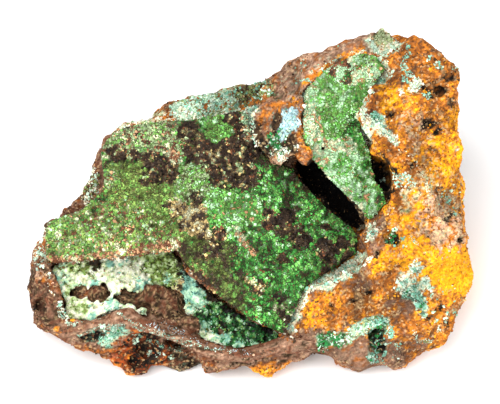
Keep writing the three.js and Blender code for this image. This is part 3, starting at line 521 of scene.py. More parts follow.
def earthy_limonite():
    """Limonite and goethite, broken and weathered: dull and powdery, without shine, with a fine grit of
    0.3 mm in it, some of its grains pale and some dark."""
    material, tree, surface, place, stain = stained_material("earthy_limonite")
    grit = add_node(tree, "TexNoise", {
        "Scale": 1 / (0.35 * MM), "Detail": 3.0, "Roughness": 0.6}, Vector=place)
    shade = add_node(tree, "MapRange", {
        "From Min": 0.3, "From Max": 0.7, "To Min": 0.5, "To Max": 1.35}, Value=grit.outputs["Fac"])
    colour = add_node(tree, "VectorMath", {"operation": "SCALE"}, Vector=stain.outputs["Color"],
                      Scale=shade.outputs["Result"])
    grains = add_node(tree, "TexVoronoi", {"Scale": 1 / (0.3 * MM)}, Vector=place)
    kind = add_node(tree, "SeparateColor", Color=grains.outputs["Color"]).outputs["Red"]
    pale = add_node(tree, "MapRange", {
        "From Min": 0.86, "From Max": 0.92, "To Max": 0.35}, Value=kind)
    dark = add_node(tree, "MapRange", {"From Min": 0.2, "From Max": 0.1, "To Max": 0.6}, Value=kind)
    pale_here = add_node(tree, "Math", {"operation": "MULTIPLY"})
    dark_here = add_node(tree, "Math", {"operation": "MULTIPLY"})
    for amount, here in ((pale, pale_here), (dark, dark_here)):
        tree.links.new(amount.outputs["Result"], here.inputs[0])
        tree.links.new(stain.outputs["Alpha"], here.inputs[1])
    with_pale = add_node(tree, "MixRGB", {"Color2": (*linear("#e0bf8c"), 1)},
                         Fac=pale_here.outputs["Value"], Color1=colour.outputs["Vector"])
    with_dark = add_node(tree, "MixRGB", {"Color2": (*linear("#3a2415"), 1)},
                         Fac=dark_here.outputs["Value"], Color1=with_pale.outputs["Color"])
    tree.links.new(with_dark.outputs["Color"], surface.inputs["Base Color"])
    fine = add_node(tree, "TexNoise", {"Scale": 1 / (0.2 * MM), "Detail": 2.0}, Vector=place)
    bump = add_node(tree, "Bump", {"Strength": 0.6, "Distance": 0.12 * MM},
                    Height=fine.outputs["Fac"])
    tree.links.new(bump.outputs["Normal"], surface.inputs["Normal"])
    surface.inputs["Roughness"].default_value = 0.85
    surface.inputs["Specular IOR Level"].default_value = 0.2
    surface.inputs["IOR"].default_value = 1.5
    return material


rock.data.materials.append(earthy_limonite())
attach(rock, "root")
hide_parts("limonite_rock")


# ------------------------------------------------------------------ the main crust
# Conichalcite, a calcium copper arsenate, lines the big cavity with crystals under half a
# millimetre across: olive and yellow-green on the left, emerald on the right, with cream calcite,
# rust specks and patches of black goethite between them.

DRUSE_MINERALS = {
    "cream": "#dcdcb4", "mint": "#b3dcae", "grass": "#6cb052", "lime": "#8eae58", "leaf": "#6d9e4a",
    "sage": "#98ac7e", "emerald": "#43903d", "olive": "#6e7f3e", "sand": "#ceb378", "peach": "#cf9c72",
    "rust": "#7d4d33", "dark olive": "#434f25", "forest": "#23501f", "umber": "#3e3125", "black": "#17110b",
}


def crust_relief(place):
    """Height of a crust at a place, in millimetres: broad swells with small crowded lumps on them."""
    swells = 0.9 * noise.fractal(place / 3.6, 0.9, 2.1, 2)
    lumps = 0.75 * (noise.turbulence(place / 1.6, 2, True) - 0.45)
    return swells + lumps


def swell_crust(bed, height):
    """Lets a crust rise and fall along the way it faces, and swell a little all over."""
    rise = height * np.array([crust_relief(Vector(place)) for place in face_places(bed.data)])
    corners = corner_rows(bed.data) + rise[:, None] * np.array(OUTWARDS) * MM
    bed.data.vertices.foreach_set("co", corners.ravel())
    move_vertices(bed, np.full(len(rise), 0.2))


def grain_shapes():
    """Blunt little grains as corners and faces: a tip, a slanted block and a short prism."""
    tip, block, prism = bmesh.new(), bmesh.new(), bmesh.new()
    bmesh.ops.create_cone(tip, cap_ends=True, segments=5, radius1=1.05, radius2=0, depth=2.2)
    bmesh.ops.create_cube(block, size=1.5)
    bmesh.ops.create_cone(prism, cap_ends=True, segments=4, radius1=0.95, radius2=0.55, depth=1.9)
    shapes = []
    for work in (tip, block, prism):
        bmesh.ops.triangulate(work, faces=work.faces)
        corners = np.array([vertex.co[:] for vertex in work.verts])
        faces = np.array([[vertex.index for vertex in face.verts] for face in work.faces])
        shapes.append((corners, faces))
        work.free()
    return shapes


def grow_grains(name, found, seed, colours, sink, tallness):
    """One piece of many grains joined, each with its own turn, stretch and colour."""
    seeded = random.Random(seed)
    shapes = grain_shapes()
    corners, faces, stains = [], [], []
    count = 0
    for (place, normal, size), colour in zip(found, colours):
        shape_corners, shape_faces = shapes[seeded.randrange(len(shapes))]
        tilt = Vector([seeded.uniform(-0.8, 0.8) for _ in range(3)])
        upright = (normal + tilt).normalized().to_track_quat("Z", "Y").to_matrix()
        spin = Matrix.Rotation(seeded.uniform(0, math.tau), 3, "Z")
        widths = (seeded.uniform(0.7, 1.2), seeded.uniform(0.7, 1.2))
        stretch = Matrix.Diagonal((*widths, seeded.uniform(*tallness)))
        turn = np.array(upright @ spin @ stretch) * size * MM
        corners.append(shape_corners @ turn.T + np.array(place - normal * size * sink * MM))
        faces.append(shape_faces + count)
        stains.append(np.repeat([colour * seeded.uniform(0.7, 1.2)], len(shape_corners), axis=0))
        count += len(shape_corners)
    corners = np.clip(np.concatenate(corners), np.array(cad_box[0]), np.array(cad_box[1]))
    mesh = bpy.data.meshes.new(name)
    mesh.from_pydata(corners.tolist(), [], np.concatenate(faces).tolist())
    paint(mesh, np.concatenate(stains))
    piece = bpy.data.objects.new(name, mesh)
    scene.collection.objects.link(piece)
    return piece


def grow_druse(name, bed, grounds, palette, relief, pitch, seed, sizes, sink=0.25, tallness=(0.8, 1.5),
               fray=0.7, keep=None):
    """Grains all over a bed: their minerals keep together in clusters, with painted shade that darkens the
    low places and lightens the high ones.

    Where a ground has a share of "bare", that share of it carries no grain.
    """
    found = find_places(bed, pitch, seed, sizes, keep)
    spots = np.array([(laid_flat @ place)[:] for place, _, _ in found])
    clusters = np.array([noise.noise(Vector(spot) / 0.8) for spot in spots])
    heights = np.array([relief(Vector(spot)) for spot in spots])
    scatter = np.random.default_rng(seed).normal(0, 0.2, len(spots))
    shares = mineral_shares(ragged(spots, fray), grounds, palette)
    # painted shade: low places pick darker minerals, and each grain's colour is scaled darker in low places
    # and lighter on high ones
    colours = pick_colours(shares, evenly(clusters + scatter - 0.35 * heights), palette)
    colours = colours * (1 + 0.6 * np.clip(heights, -0.9, 0.5))[:, None]
    grown = [i for i in range(len(found)) if not np.isnan(colours[i, 0])]
    return grow_grains(name, [found[i] for i in grown], seed, colours[grown], sink, tallness)


def paint_bed(bed, grounds, palette, hint, fray):
    """Colours a bed dark brown, the rock under the crust, with a dimmed hint of what grows on it: painted
    shade in the gaps between the grains.
    """
    places = face_places(bed.data)
    chances = evenly([noise.noise(Vector(place) / 0.8) for place in places])
    shares = mineral_shares(ragged(places, fray), grounds, palette)
    # painted shade: the minerals' colour, dimmed to the hint's share, added to the dark brown of the rock
    paint(bed.data, hint * pick_colours(shares, chances, palette) + linear("#271c14"), 0.3)


def crust_material(name, roughness, cloudiness):
    """The finish of a mineral crust: each grain in its own stain, with veils of 0.5 mm in it, and a shine
    that its roughness sets."""
    material, tree, surface, place, stain = stained_material(name)
    veil = add_node(tree, "TexNoise", {"Scale": 1 / (0.5 * MM), "Detail": 3.0}, Vector=place)
    shade = add_node(tree, "MapRange", {
        "From Min": 0.3, "From Max": 0.7, "To Min": 1 - cloudiness, "To Max": 1 + cloudiness
    }, Value=veil.outputs["Fac"])
    colour = add_node(tree, "VectorMath", {"operation": "SCALE"}, Vector=stain.outputs["Color"],
                      Scale=shade.outputs["Result"])
    tree.links.new(colour.outputs["Vector"], surface.inputs["Base Color"])
    surface.inputs["Roughness"].default_value = roughness
    surface.inputs["IOR"].default_value = 1.8  # of conichalcite, and nearly of calcite
    surface.inputs["Specular IOR Level"].default_value = 0.12
    return material


# conichalcite druse: small crystals, glassy to greasy, each of its own green, that glint here and there
druse_material = crust_material("conichalcite_druse", roughness=0.45, cloudiness=0.25)
GREEN_LEFT = "lime 28, leaf 30, mint 5, sage 10, cream 5, peach 6, rust 10, dark olive 6"
GREEN_CENTRE = "leaf 10, olive 26, dark olive 44, umber 20"
GREEN_RIGHT = "emerald 40, grass 22, forest 23, mint 6, rust 3, umber 6"
BLACK_PATCH = "sage 6, sand 6, rust 9, dark olive 7, umber 31, black 22"
# goethite between the green crystals
DARK_PATCHES = [
    (-19.6, 7.1, 0.6), (-17.9, 6.9, 0.7), (-16.4, 6.6, 0.6), (-14.6, 5.9, 0.7), (-12.9, 5.3, 1),
    (-11.8, 4.2, 1.1), (-13.7, 3.6, 0.8), (-14.8, 3.1, 0.6), (-8.7, 9.9, 0.8), (-7.8, 8.5, 1),
    (-7, 7.3, 1.3), (-5.6, 5.9, 1.3), (-3.9, 4.8, 1.3), (-2.1, 4.2, 1.3), (-0.4, 3.6, 1.1),
    (-2.8, 7.3, 1.1), (-3.9, 3.1, 0.8), (-1.4, 5.9, 1.1), (-10.1, 9.5, 0.6), (-2.7, 12, 0.7),
    (-1.4, 10.4, 0.7), (-1.7, 8.4, 0.8), (0.3, 7.3, 0.8), (-7.7, 0.6, 0.7), (-11.5, -0.6, 0.4),
    (-9.5, -3.4, 0.4), (-4.1, -4.3, 0.7), (-4.1, -4.8, 0.7), (-4.8, -6.6, 0.8), (-5.9, -7, 0.7),
    (3.6, -2.5, 1), (4.8, -3.5, 1), (6.4, -4.1, 0.8), (7.1, -5.2, 0.8), (2.8, -1.5, 0.6), (5.3, -2.2, 0.7),
    (8.1, -5.3, 0.6), (11.1, -6.9, 1.3), (13, -5.9, 0.7), (14.3, -5.6, 0.6), (13.6, -7.3, 0.6)]
DRUSE_GROUNDS = [
    (GREEN_RIGHT, 0.02, [(0, 0, 60)]),
    (GREEN_LEFT, 1, [(-25.9, -5.3, 3.1), (-21, -4.6, 3.4), (-16.8, -3.2, 3.1), (-13.3, -5.3, 2.5)]),
    ("lime 24, olive 45, leaf 24, cream 1, dark olive 6", 1, [
        (-14, 0.3, 3.1), (-16.8, 2.4, 2.8), (-10.9, -2.5, 2)]),
    ("cream 5, sage 45, peach 7, leaf 20, rust 11, umber 12", 1.4, [
        (-18.9, 8.7, 2), (-16.1, 9.4, 2), (-13.3, 10.1, 2), (-11.9, 8.7, 1.7), (-19.3, 3.1, 1)]),
    ("mint 8, sage 35, leaf 45, dark olive 12", 3, [
        (-7.6, 3.4, 1.4), (-9.1, 1.7, 1.1), (-6.6, 1.7, 1), (-9.2, 4.2, 0.8)]),
    ("mint 12, cream 40, peach 33, rust 15", 9, [(-11.3, 7.1, 0.6), (-10.6, 6.4, 0.6)]),
    ("cream 30, peach 22, lime 36, rust 12", 2.5, [
        (-19.6, -6.4, 1.3), (-19.3, -5.3, 0.8), (-16.1, -6, 0.8), (-21, -1.8, 0.6), (-16.8, -4.2, 0.7),
        (-26.3, -7, 0.4)]),
    ("cream 25, peach 42, lime 13, rust 20", 7, along([
        (-28.3, -8.4), (-22.4, -8), (-16.1, -7), (-10.6, -6.2)], 0.56)),
    (GREEN_CENTRE, 1, [
        (-7, -9.5, 2.8), (-4.9, -7.4, 2.2), (-2.8, -11.6, 2.5), (-7.7, -7.4, 2), (-3.5, -13.7, 1.7)]),
    ("grass 40, leaf 35, mint 15, dark olive 10", 2, [
        (-4.5, 11.2, 1.4), (-5.3, 9.8, 0.8), (-3.6, 2.5, 0.8)]),
    ("mint 18, grass 50, peach 5, leaf 15, emerald 12", 3, [
        (-2.5, -1.8, 1.8), (-3.9, 0.3, 1.1), (-4.5, -1.4, 1), (0, -1.4, 1.3)]),
    (GREEN_RIGHT, 1, [
        (4.2, 1.7, 2.8), (8.4, 0.3, 3.1), (5.6, -4.6, 2.8), (2.1, -9.5, 2.8), (7, -8.8, 2.8),
        (2.8, -13.7, 2.5), (11.9, -3.2, 2.2), (0, -5.3, 1.7), (-0.7, -8.8, 1.7)]),
    ("mint 50, cream 25, peach 25", 4, [(-0.4, 11.8, 0.6), (-0.7, 10.5, 0.5), (-0.3, 9.2, 0.5)]),
    (BLACK_PATCH, 9, DARK_PATCHES),
    ("cream 12, umber 40, black 33, leaf 15", 14, [
        (4.3, -14.6, 0.8), (5, -16, 0.6), (5.3, -17.1, 0.4), (3.6, -13.4, 0.4)]),
    ("umber 50, rust 35, sand 15", 5, [
        (-6.6, -10.9, 1), (-5.5, -12.5, 0.8), (-7.6, -9.5, 0.6), (-3.9, -14.1, 0.6)]),
    ("sand 33, cream 20, rust 12, umber 35", 12, [
        (1.3, -11.8, 0.7), (0.3, -11.1, 0.4), (-0.6, -10.6, 0.28)]),
    ("rust 20, umber 50, black 30", 16, [
        (4.6, -8, 0.6), (10.9, -3.4, 0.4), (10.5, -9.9, 0.5), (2.5, -3.4, 0.5)]),
    ("leaf 50, emerald 35, umber 15", 40, [
        (14.4, -4.9, 0.6), (12.3, -7.8, 0.4), (12, -5.5, 0.28), (14.4, -6.7, 0.28), (12.9, -6.9, 0.28)]),
    ("cream 30, sand 52, umber 18", 18, [
        (-10.6, -0.4, 0.7), (-9.9, -1.3, 0.8), (-8.8, -2.1, 1), (-7.7, -2.9, 1), (-6.9, -3.9, 0.7),
        (-7, -1.3, 0.6), (-5.9, -4.9, 0.5), (-5, 6.7, 0.6), (-4.2, 7.3, 0.4), (-8.5, 9.7, 0.4),
        (-5.3, -5.9, 0.28)]),
    ("rust 8, umber 47, black 45", 14, [
        (4.8, -3.5, 0.7), (6.3, -3.9, 0.6), (15.1, -6.4, 0.4), (-4.1, -4.3, 0.6), (-5.2, -6.7, 0.6),
        (-9.5, -3.5, 0.4)]),
    ("umber 45, black 55", 120, [(4.9, -2.1, 0.8), (7.6, -5.3, 0.7), (11.1, -6.6, 1), (13, -5.9, 0.5)]),
    ("cream 40, peach 35, mint 25", 6, along([(-2.2, -3.1), (-1.3, -5), (-0.6, -6.2), (0.3, -7.1)], 0.31)),
    ("sage 20, sand 45, umber 35", 9, [
        (-9.2, 9.5, 0.6), (-7.6, 7.8, 0.4), (-1.4, 6.9, 0.4), (-0.7, 2.4, 0.4), (-3.1, 4.8, 0.4)]),
    ("umber 40, dark olive 30, forest 30", 4, [
        (2.8, 6.2, 1), (4.5, 4.8, 0.8), (6.4, 3.4, 0.7), (7.7, 1.7, 0.7)]),
]

# round black goethite balls that stand out of the druse
GOETHITE_BALLS = [
    (11.1, -6.7, 0.8), (13, -5.7, 0.6), (11.9, -7.8, 0.6), (4.5, -8, 0.6), (4.8, -3.4, 0.6),
    (6.9, -4.9, 0.6)]
main_bed = solid_copy("main_crust", "main_crust_bed")
knobs = find_places(main_bed, pitch=0.9, seed=31, sizes=(0.35, 0.85),
                    keep=lambda u, v, seeded: within(DARK_PATCHES, u, v, 0.9))
join_balls(main_bed, knobs, sink=0.4)
join_balls(main_bed, land_on(main_bed, GOETHITE_BALLS), sink=0.3)
reskin(main_bed, grain=0.33, rounds=2)
swell_crust(main_bed, height=1.0)
paint_bed(main_bed, DRUSE_GROUNDS, DRUSE_MINERALS, hint=0.3, fray=0.35)
main_bed.data.materials.append(rock.data.materials[0])
main_crystals = grow_druse("main_crust_crystals", main_bed, DRUSE_GROUNDS, DRUSE_MINERALS | {"bare": ""},
                           crust_relief, pitch=0.207, seed=1, sizes=(0.09, 0.24), fray=0.35)
main_crystals.data.materials.append(druse_material)
for piece in (main_bed, main_crystals):
    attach(piece, "root")
    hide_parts("main_crust")


# ------------------------------------------------------------------ the pocket crust
# A paler, finer druse in the upper pocket, between the crest and the shoulder: soft medium green
# in its middle, mint to white along the left edge and the lower lip.

POCKET_GROUNDS = [
    ("grass 35, leaf 25, emerald 12, mint 24, peach 4", 0.05, [(12, 8, 60)]),
    ("leaf 25, grass 38, sage 12, mint 25", 1, [
        (11.9, 13.6, 2.2), (12.9, 11.2, 2), (11.2, 15.7, 1.7)]),
    ("mint 55, cream 25, peach 14, grass 6", 4, along([
        (8, 16), (8.1, 12.9), (8.7, 10.1), (9.7, 7.3), (11.5, 7.7), (13.6, 7.8)], 0.84)
        + [(16.1, 18.2, 1), (14.8, 17.6, 0.8), (10.1, 5.9, 0.7)]),
    ("mint 55, grass 33, emerald 5, peach 7", 1.5, [
        (13.3, 5.2, 1.7), (14.7, 2.4, 1.7), (16.5, 0, 1.3)]),
    ("mint 60, cream 15, grass 25", 3, along([(10.9, 4.2), (14, 0.7), (16.8, -1.4)], 0.56)),
    ("umber 30, rust 35, mint 35", 4, [
        (11.9, 18.8, 0.7), (13.3, 19.6, 0.7), (14, 19, 0.6), (12.6, 17.4, 0.6)]),
    ("cream 30, mint 40, leaf 20, umber 10", 6, [(15.7, 19.6, 0.8), (16.8, 19.6, 0.7), (14.3, 19.9, 0.6)]),
    ("forest 50, emerald 40, umber 10", 4, along([
        (14.7, 11.8), (14, 9.4), (14.8, 8.7)], 0.49)
        + [(13.3, 17.8, 0.6), (14.7, 14.3, 0.4), (16.2, 5.2, 0.4), (15.7, 3.1, 0.4), (18.2, 0.8, 0.4)]),
]
pocket_bed = solid_copy("pocket_crust", "pocket_crust_bed")
reskin(pocket_bed, grain=0.3, rounds=3)
swell_crust(pocket_bed, height=0.7)
paint_bed(pocket_bed, POCKET_GROUNDS, DRUSE_MINERALS, hint=0.4, fray=0.7)
pocket_bed.data.materials.append(rock.data.materials[0])
pocket_crystals = grow_druse("pocket_crust_crystals", pocket_bed, POCKET_GROUNDS, DRUSE_MINERALS,
                             crust_relief, pitch=0.2, seed=5, sizes=(0.09, 0.22))
pocket_crystals.data.materials.append(druse_material)
for piece in (pocket_bed, pocket_crystals):
    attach(piece, "root")
    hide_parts("pocket_crust")


# ------------------------------------------------------------------ the lining of the lower hollow
# Chrysocolla and conichalcite in rounded, bubbly lumps, cream to mint and turquoise, that turn
# into a dark green druse at the right end of the hollow.

HOLLOW_MINERALS = {
    "white": "#e9ecd6", "cream": "#e2d9b0", "pale green": "#c8dba4", "mint": "#b4dcb9", "aqua": "#8cc4b0",
    "sand": "#c9b27c", "leaf": "#86a852", "emerald": "#3c8a45", "rust": "#a06a48", "teal": "#3f7365",
    "olive": "#6c7838", "forest": "#1f4a26", "dark olive": "#3c4622", "umber": "#3a2c1c",
    "black": "#14100a",
}
HOLLOW_GROUNDS = [
    ("white 35, pale green 30, mint 15, aqua 7, rust 4, olive 9", 0.02, [(-16, -12, 60)]),
    ("white 52, cream 12, pale green 20, aqua 6, rust 4, olive 6", 1, [
        (-21.3, -10.2, 1.5), (-18.9, -10.9, 1.4), (-16.5, -10.2, 1.5), (-23.8, -10.2, 1.1),
        (-21.3, -14.7, 1.3)]),
    ("white 20, cream 15, pale green 35, leaf 15, olive 15", 1.5, [
        (-24.9, -14.8, 1.4), (-25.8, -13.4, 0.8), (-23.8, -16.2, 0.8)]),
    ("aqua 50, mint 35, white 15", 3, [
        (-19.2, -8.8, 0.7), (-28, -10.9, 0.7), (-27.2, -12.3, 0.7), (-26.6, -13.3, 0.6),
        (-15.5, -11.3, 0.7), (-11.9, -10.9, 0.6), (-22, -11.8, 0.6), (-19.6, -14.6, 0.6),
        (-22.4, -16.2, 0.6), (-18.2, -8.4, 0.6)]),
    ("pale green 30, leaf 30, olive 25, dark olive 15", 2.5, [
        (-24.5, -9, 0.8), (-23.2, -9.8, 0.7), (-14, -8.7, 1.4), (-11.9, -9.2, 1.3), (-12.9, -10.9, 0.8),
        (-10.9, -11.6, 0.8)]),
    ("umber 50, black 30, dark olive 20", 6, [
        (-21.7, -8.7, 0.6), (-9.5, -8.4, 0.8), (-9.2, -9.8, 0.7), (-10.4, -7.8, 0.6)]),
    ("sand 40, cream 20, umber 40", 3, [(-10.1, -12, 0.8), (-10.6, -13.4, 0.6)]),
    ("aqua 40, teal 35, mint 25", 4, along([(-9, -10.4), (-8.4, -12.3), (-9, -13.7)], 0.56)),
    ("white 8, mint 45, aqua 25, rust 4, olive 8, emerald 10", 5, [
        (-7.3, -12.9, 0.7), (-6.6, -13.7, 0.7), (-7.6, -14.1, 0.6)]),
    ("umber 40, black 60", 6, [(-5.9, -12.3, 0.7), (-5, -13.3, 0.7), (-6.7, -11.5, 0.6)]),
    ("emerald 22, forest 35, leaf 10, mint 6, umber 7, black 20", 4, [
        (-5.3, -15.4, 1), (-3.9, -16.8, 1.1), (-1.7, -17.4, 1.4), (0.7, -18.2, 1.4), (3.1, -18.8, 1.1),
        (-6.6, -15.8, 0.8), (-2.1, -18.9, 1)]),
    ("mint 45, emerald 25, aqua 30", 4, [
        (-3.5, -19, 0.6), (-1.4, -19.9, 0.6), (0.7, -20, 0.6), (-6.3, -16.8, 0.6)]),
    # painted shadow: a black strip in the hollow along the underside of the plate's lower edge
    ("black 70, forest 30", 5, along([(-3.9, -14.8), (-0.7, -16.8), (3.5, -18.5)], 0.42)),
]
BUBBLE_END = -6.3  # u, up to which the lining is bubbly
GREEN_START = -6.7  # u, from which its grains stand close

hollow_bed = solid_copy("hollow_crust", "hollow_lining")
bubbles = find_places(hollow_bed, pitch=1.0, seed=9, sizes=(0.4, 1.0),
                      keep=lambda u, v, seeded: u < BUBBLE_END)
join_balls(hollow_bed, bubbles, sink=0.45)
reskin(hollow_bed, grain=0.22, rounds=1)
lining_places = face_places(hollow_bed.data)


def lining_relief(place):
    """Height of the lining at a place, in millimetres: warts, with a pit here and there between them."""
    wart = 0.32 * (noise.turbulence(place / 1.1, 3, True) - 0.4)
    return wart - 1.4 * max(0.0, 0.32 - noise.voronoi(place / 0.9)[0][0])


warts = np.array([lining_relief(Vector(place)) for place in lining_places])
move_vertices(hollow_bed, warts)
patchiness = np.array([noise.fractal(Vector(place) / 0.9, 0.8, 2.1, 3) for place in lining_places])
# painted shade: the pits between the warts pick darker minerals and are painted darker
chances = evenly(patchiness - 3 * warts)
shares = mineral_shares(ragged(lining_places, 0.8), HOLLOW_GROUNDS, HOLLOW_MINERALS)
light = 1 + 2 * np.clip(warts, -0.35, 0.05)
paint(hollow_bed.data, pick_colours(shares, chances, HOLLOW_MINERALS, 0.05) * light[:, None])
# chrysocolla in bubbles: opaque, waxy and pale, with a soft, slightly uneven shine
hollow_bed.data.materials.append(crust_material("botryoidal_chrysocolla", roughness=0.5, cloudiness=0.15))
hollow_crystals = grow_druse("hollow_lining_crystals", hollow_bed, HOLLOW_GROUNDS, HOLLOW_MINERALS,
                             lambda place: 2.5 * lining_relief(place), pitch=0.21, seed=11,
                             sizes=(0.07, 0.22),
                             keep=lambda u, v, seeded: seeded.random() < (1.0 if u > GREEN_START else 0.5))
hollow_crystals.data.materials.append(druse_material)
for piece in (hollow_bed, hollow_crystals):
    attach(piece, "root")
    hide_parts("hollow_crust")


# ------------------------------------------------------------------ grit on the rock
# Grown-on grains of limonite and calcite roughen the open side of the rock wherever it is not worn
# smooth. Finer cream, mint and blue grains of copper carbonates edge the crusts and sit in patches
# on the shoulder, and thin bubbly veins of them run along the layered rim.

def off_bare_rock(u, v, seeded):
    """Whether a grain sits at a place: everywhere, but on bare rock only now and then."""
    return seeded.random() < (0.2 if within(BARE_ROCK, u, v) else 1)


grit = grow_druse("rock_grit", rock, ROCK_GROUNDS, ROCK_STAINS, rock_relief, pitch=0.42, seed=21,
                  sizes=(0.08, 0.24), sink=0.1, tallness=(0.7, 1.2), keep=off_bare_rock)
grit.data.materials.append(rock.data.materials[0])

EDGE_MINERALS = {
    "bare": "", "cream": "#f2ecd2", "mint": "#d0ecd4", "ice": "#c2e4ea", "aqua": "#8ac6ac",
    "sage": "#bccc9a", "grass": "#66a850", "emerald": "#2f8a45", "moss": "#7f9158", "rust": "#96561f",
    "umber": "#40301f",
}
MINT_EDGE = "mint 44, cream 40, aqua 8"
EDGE_GROUNDS = [
    ("bare 100", 0.5, [(0, 0, 60)]),
    ("bare 100", 20, LEFT_STRIP),
    # the seams between the crusts and the rock
    (MINT_EDGE, 9, MINT_SEAMS),
    ("mint 40, aqua 20, cream 10", 4, [(20.7, 3.1, 1), (21.7, 2.2, 0.8)]),
    # the nest on the peak
    ("sage 60, cream 35", 25, PEAK_NEST),
    ("mint 70, cream 30", 14, PEAK_RING),
    # the knob
    (MINT_EDGE, 6, along([(7.7, 14.8), (7.8, 12.2), (8.4, 9.4)], 0.35)),
    ("ice 76, mint 14, aqua 10", 14, [
        (6, 12.5, 0.6), (5.6, 11.5, 0.8), (5.5, 10.4, 0.7), (4.8, 10.6, 0.4)]),
    ("cream 30, mint 25", 5, [(3.1, 7, 0.6), (4.9, 6.7, 0.7), (6.4, 7.6, 0.4)]),
    ("emerald 42, mint 20", 8, [
        (3.6, 8.7, 0.8), (4.5, 9.7, 0.6), (2.9, 7.7, 0.6), (4.2, 7.7, 0.4)]),
    # spots on the shoulder and the keel
    ("aqua 45, mint 30, emerald 5", 7, [
        (22.4, -12.5, 0.7), (23.4, -14.1, 0.7), (23.8, -15.3, 0.4), (17.6, 11.5, 0.6), (17.2, -21.4, 0.7)]
        + along([(16.2, -18.1), (16.9, -16.8), (18.2, -16.2), (19.2, -17.2), (19.3, -18.5)], 0.42)),
    ("mint 50, sage 20, aqua 15", 6, along([
        (13.7, -18.6), (15.1, -17.6), (16.5, -16.7)], 0.49)),
    ("aqua 20, emerald 25, mint 5", 8, [(17.6, -18.2, 0.7), (17.8, -19.6, 0.7)]),
    ("emerald 45, mint 25", 7, [
        (10.1, -19.6, 0.7), (11.5, -19, 0.8), (12.9, -18.8, 0.6), (19.3, -5.3, 0.6), (19.3, -3.9, 0.4)]),
    ("mint 30, aqua 60", 7, [
        (22.4, 22, 0.31), (22.7, 21.1, 0.28), (22, 20.4, 0.31), (21.8, 19.3, 0.4), (21.4, 18.6, 0.4),
        (22, 17.5, 0.5), (26.3, 19, 0.4), (29, 18.6, 0.31), (24.6, 14.8, 0.4), (25.2, 20.3, 0.21)]),
    ("aqua 10, mint 6", 1.5, [
        (26.6, -14.4, 2.5), (18.2, -20, 2), (21, -5.3, 1.3), (28, 0.3, 1.7), (8.7, 18.5, 2)]),
    # the back ledge, the left side and the left end
    ("cream 10, aqua 18, mint 50, moss 4, rust 14", 6, along([
        (-10.1, 13.2), (-6.3, 13.9), (-3.1, 14.8)], 0.98)),
    ("aqua 15, mint 12, moss 38, umber 25", 5, along([(-1.4, 15.1), (1.7, 16)], 0.98)),
    ("cream 40, mint 20, moss 20", 5, along([
        (-19.3, 10.5), (-17.6, 11.3), (-12.6, 11.9), (-2.1, 12.6)], 0.42)),
    ("cream 30, mint 30, moss 30, umber 10", 7, along([(-23, 4.5), (-22.8, 2.2), (-23.1, 0.3)], 0.7)),
    ("cream 30, mint 45, rust 10", 9, along([(-28.8, -4.2), (-29.8, -6.2), (-29.4, -8.4)], 0.56)),
    # the plate's lower edge, and the hollow's
    ("cream 40, mint 15, rust 20", 5, along([(-28.3, -8.4), (-19.6, -7.7), (-10.4, -6.6)], 0.31)),
    ("cream 12, mint 14, aqua 6", 4, along([
        (-28.3, -9.2), (-26.9, -13.2), (-25.2, -16.7), (-19.6, -15.4)], 0.42)),
    ("umber 30, rust 22, cream 4", 6, along([
        (-9.8, -7), (-7.3, -11.1), (-3.9, -14.7), (0.7, -16.8), (5.6, -18.9)], 0.42)),
    # the lenses under the lower rim
    ("aqua 45, mint 25, emerald 10", 5, [
        (-19.9, -18.8, 0.7), (-18.6, -18.1, 0.6), (-18.2, -17.6, 0.4)]),
    ("mint 50", 5, [
        (-14.3, -21.3, 0.4), (-12.5, -21.6, 0.4), (-20.4, -17.2, 0.4), (-16.2, -19.3, 0.4),
        (-11.2, -21.7, 0.4)]),
]
edge_druse = grow_druse("edge_druse", rock, EDGE_GROUNDS, EDGE_MINERALS, rock_relief, pitch=0.2, seed=23,
                        sizes=(0.09, 0.24), sink=0.0, fray=0.5)
edge_druse.data.materials.append(druse_material)

VEIN_GROUNDS = [
    ("bare 100", 0.5, [(0, 0, 60)]),
    ("umber 45, rust 10", 4, along([
        (-25.8, -17.5), (-21.6, -16.4), (-18.5, -15.5), (-14, -17.2), (-8.4, -19.5), (-2.1, -21),
        (4.9, -20.4)], 0.22)),
    ("ice 30, umber 25", 4, along([
        (-14, -16.7), (-10.5, -17.9), (-6.3, -19.6), (0, -20.9)], 0.25)),
    ("mint 45, aqua 25", 5, along([
        (-18.9, -15), (-15.4, -16.8), (-9, -19.2), (-2.8, -20.7)], 0.18)),
    ("mint 40, aqua 20", 5, along([
        (-24.6, -19), (-22.7, -17.8), (-17.4, -16.7), (-12, -18.6), (-8.4, -20)], 0.18)),
    ("mint 40, aqua 20", 4, along([
        (-26.6, -15.4), (-24.9, -16.9), (-21, -16.1), (-19.3, -15)], 0.18)),
    ("aqua 50, mint 10", 4, along([(-16.8, -18.2), (-12.6, -20), (-9.1, -21)], 0.18)),
    ("mint 50, moss 20", 5, along([
        (22.8, -16.8), (22.7, -18.2), (23.5, -19.2), (24.8, -19.3), (26, -18.5), (26.3, -17.2)], 0.18)),
    ("mint 30, cream 20", 4, along([(20.7, 7.3), (22.4, 6.2), (23.8, 4.2), (24.4, 1.7)], 0.18)),
    ("mint 30, cream 20", 4, along([(22.1, -4.8), (23.2, -6.2), (23.9, -7)], 0.18)),
    ("mint 40, aqua 10", 4, along([(7, 17.1), (9.8, 19), (13.3, 20.6), (16.1, 21.3)], 0.18)),
]
veins = grow_druse("rim_veins", rock, VEIN_GROUNDS, EDGE_MINERALS, rock_relief, pitch=0.13, seed=25,
                   sizes=(0.05, 0.12), sink=0.2, fray=0.3)
veins.data.materials.append(druse_material)
for piece in (grit, edge_druse, veins):
    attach(piece, "root")
    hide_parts("limonite_rock")


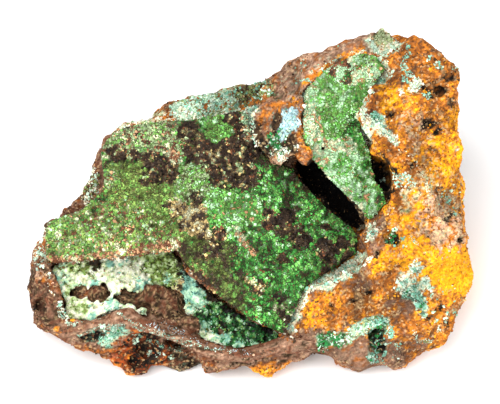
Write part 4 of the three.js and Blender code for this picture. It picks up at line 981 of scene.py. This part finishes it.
# ------------------------------------------------------------------ floor, light and camera
# A plain sheet of white paper on a table, three soft square studio lights, the strongest from the
# upper left, and a camera that looks straight at the middle of the leaning display face.

floor_work = bmesh.new()
bmesh.ops.create_grid(floor_work, x_segments=1, y_segments=1, size=1.5)
floor_mesh = bpy.data.meshes.new("floor")
floor_work.to_mesh(floor_mesh)
floor_work.free()
floor = bpy.data.objects.new("floor", floor_mesh)
scene.collection.objects.link(floor)
# uncoated white paper: matt, and almost as bright as its light
paper = bpy.data.materials.new("white_paper")
paper.use_nodes = True
paper_surface = paper.node_tree.nodes["Principled BSDF"]
paper_surface.inputs["Base Color"].default_value = (*linear("#f7f7f7"), 1)
paper_surface.inputs["Roughness"].default_value = 0.9
floor_mesh.materials.append(paper)


def add_softbox(name, place, power, size):
    """A square area light that faces the specimen."""
    light = bpy.data.lights.new(name, "AREA")
    light.energy = power
    light.size = size
    lamp = bpy.data.objects.new(name, light)
    lamp.location = place
    lamp.rotation_euler = (FACE_MIDDLE - Vector(place)).to_track_quat("-Z", "Y").to_euler()
    scene.collection.objects.link(lamp)


add_softbox("key_softbox", (-0.22, -0.2, 0.5), 4.8, 0.5)
add_softbox("right_softbox", (0.5, -0.1, 0.4), 3.0, 0.5)
add_softbox("front_softbox", (-0.1, -0.6, 0.2), 2.2, 0.4)
world = bpy.data.worlds.new("studio")
world.use_nodes = True
world.node_tree.nodes["Background"].inputs["Color"].default_value = (1, 1, 1, 1)
world.node_tree.nodes["Background"].inputs["Strength"].default_value = 0.36
scene.world = world
scene.view_settings.view_transform = "Standard"

CAMERA_DISTANCE = 0.3
CAMERA_ELEVATION = math.radians(50)
CAMERA_LENS = 154.3
camera_data = bpy.data.cameras.new("camera")
camera_data.lens = CAMERA_LENS
camera_data.clip_start = 0.01
camera = bpy.data.objects.new("camera", camera_data)
sight = Vector((0, -math.cos(CAMERA_ELEVATION), math.sin(CAMERA_ELEVATION)))
camera.location = FACE_MIDDLE + CAMERA_DISTANCE * sight
camera.rotation_euler = (-sight).to_track_quat("-Z", "Y").to_euler()
scene.collection.objects.link(camera)
scene.camera = camera
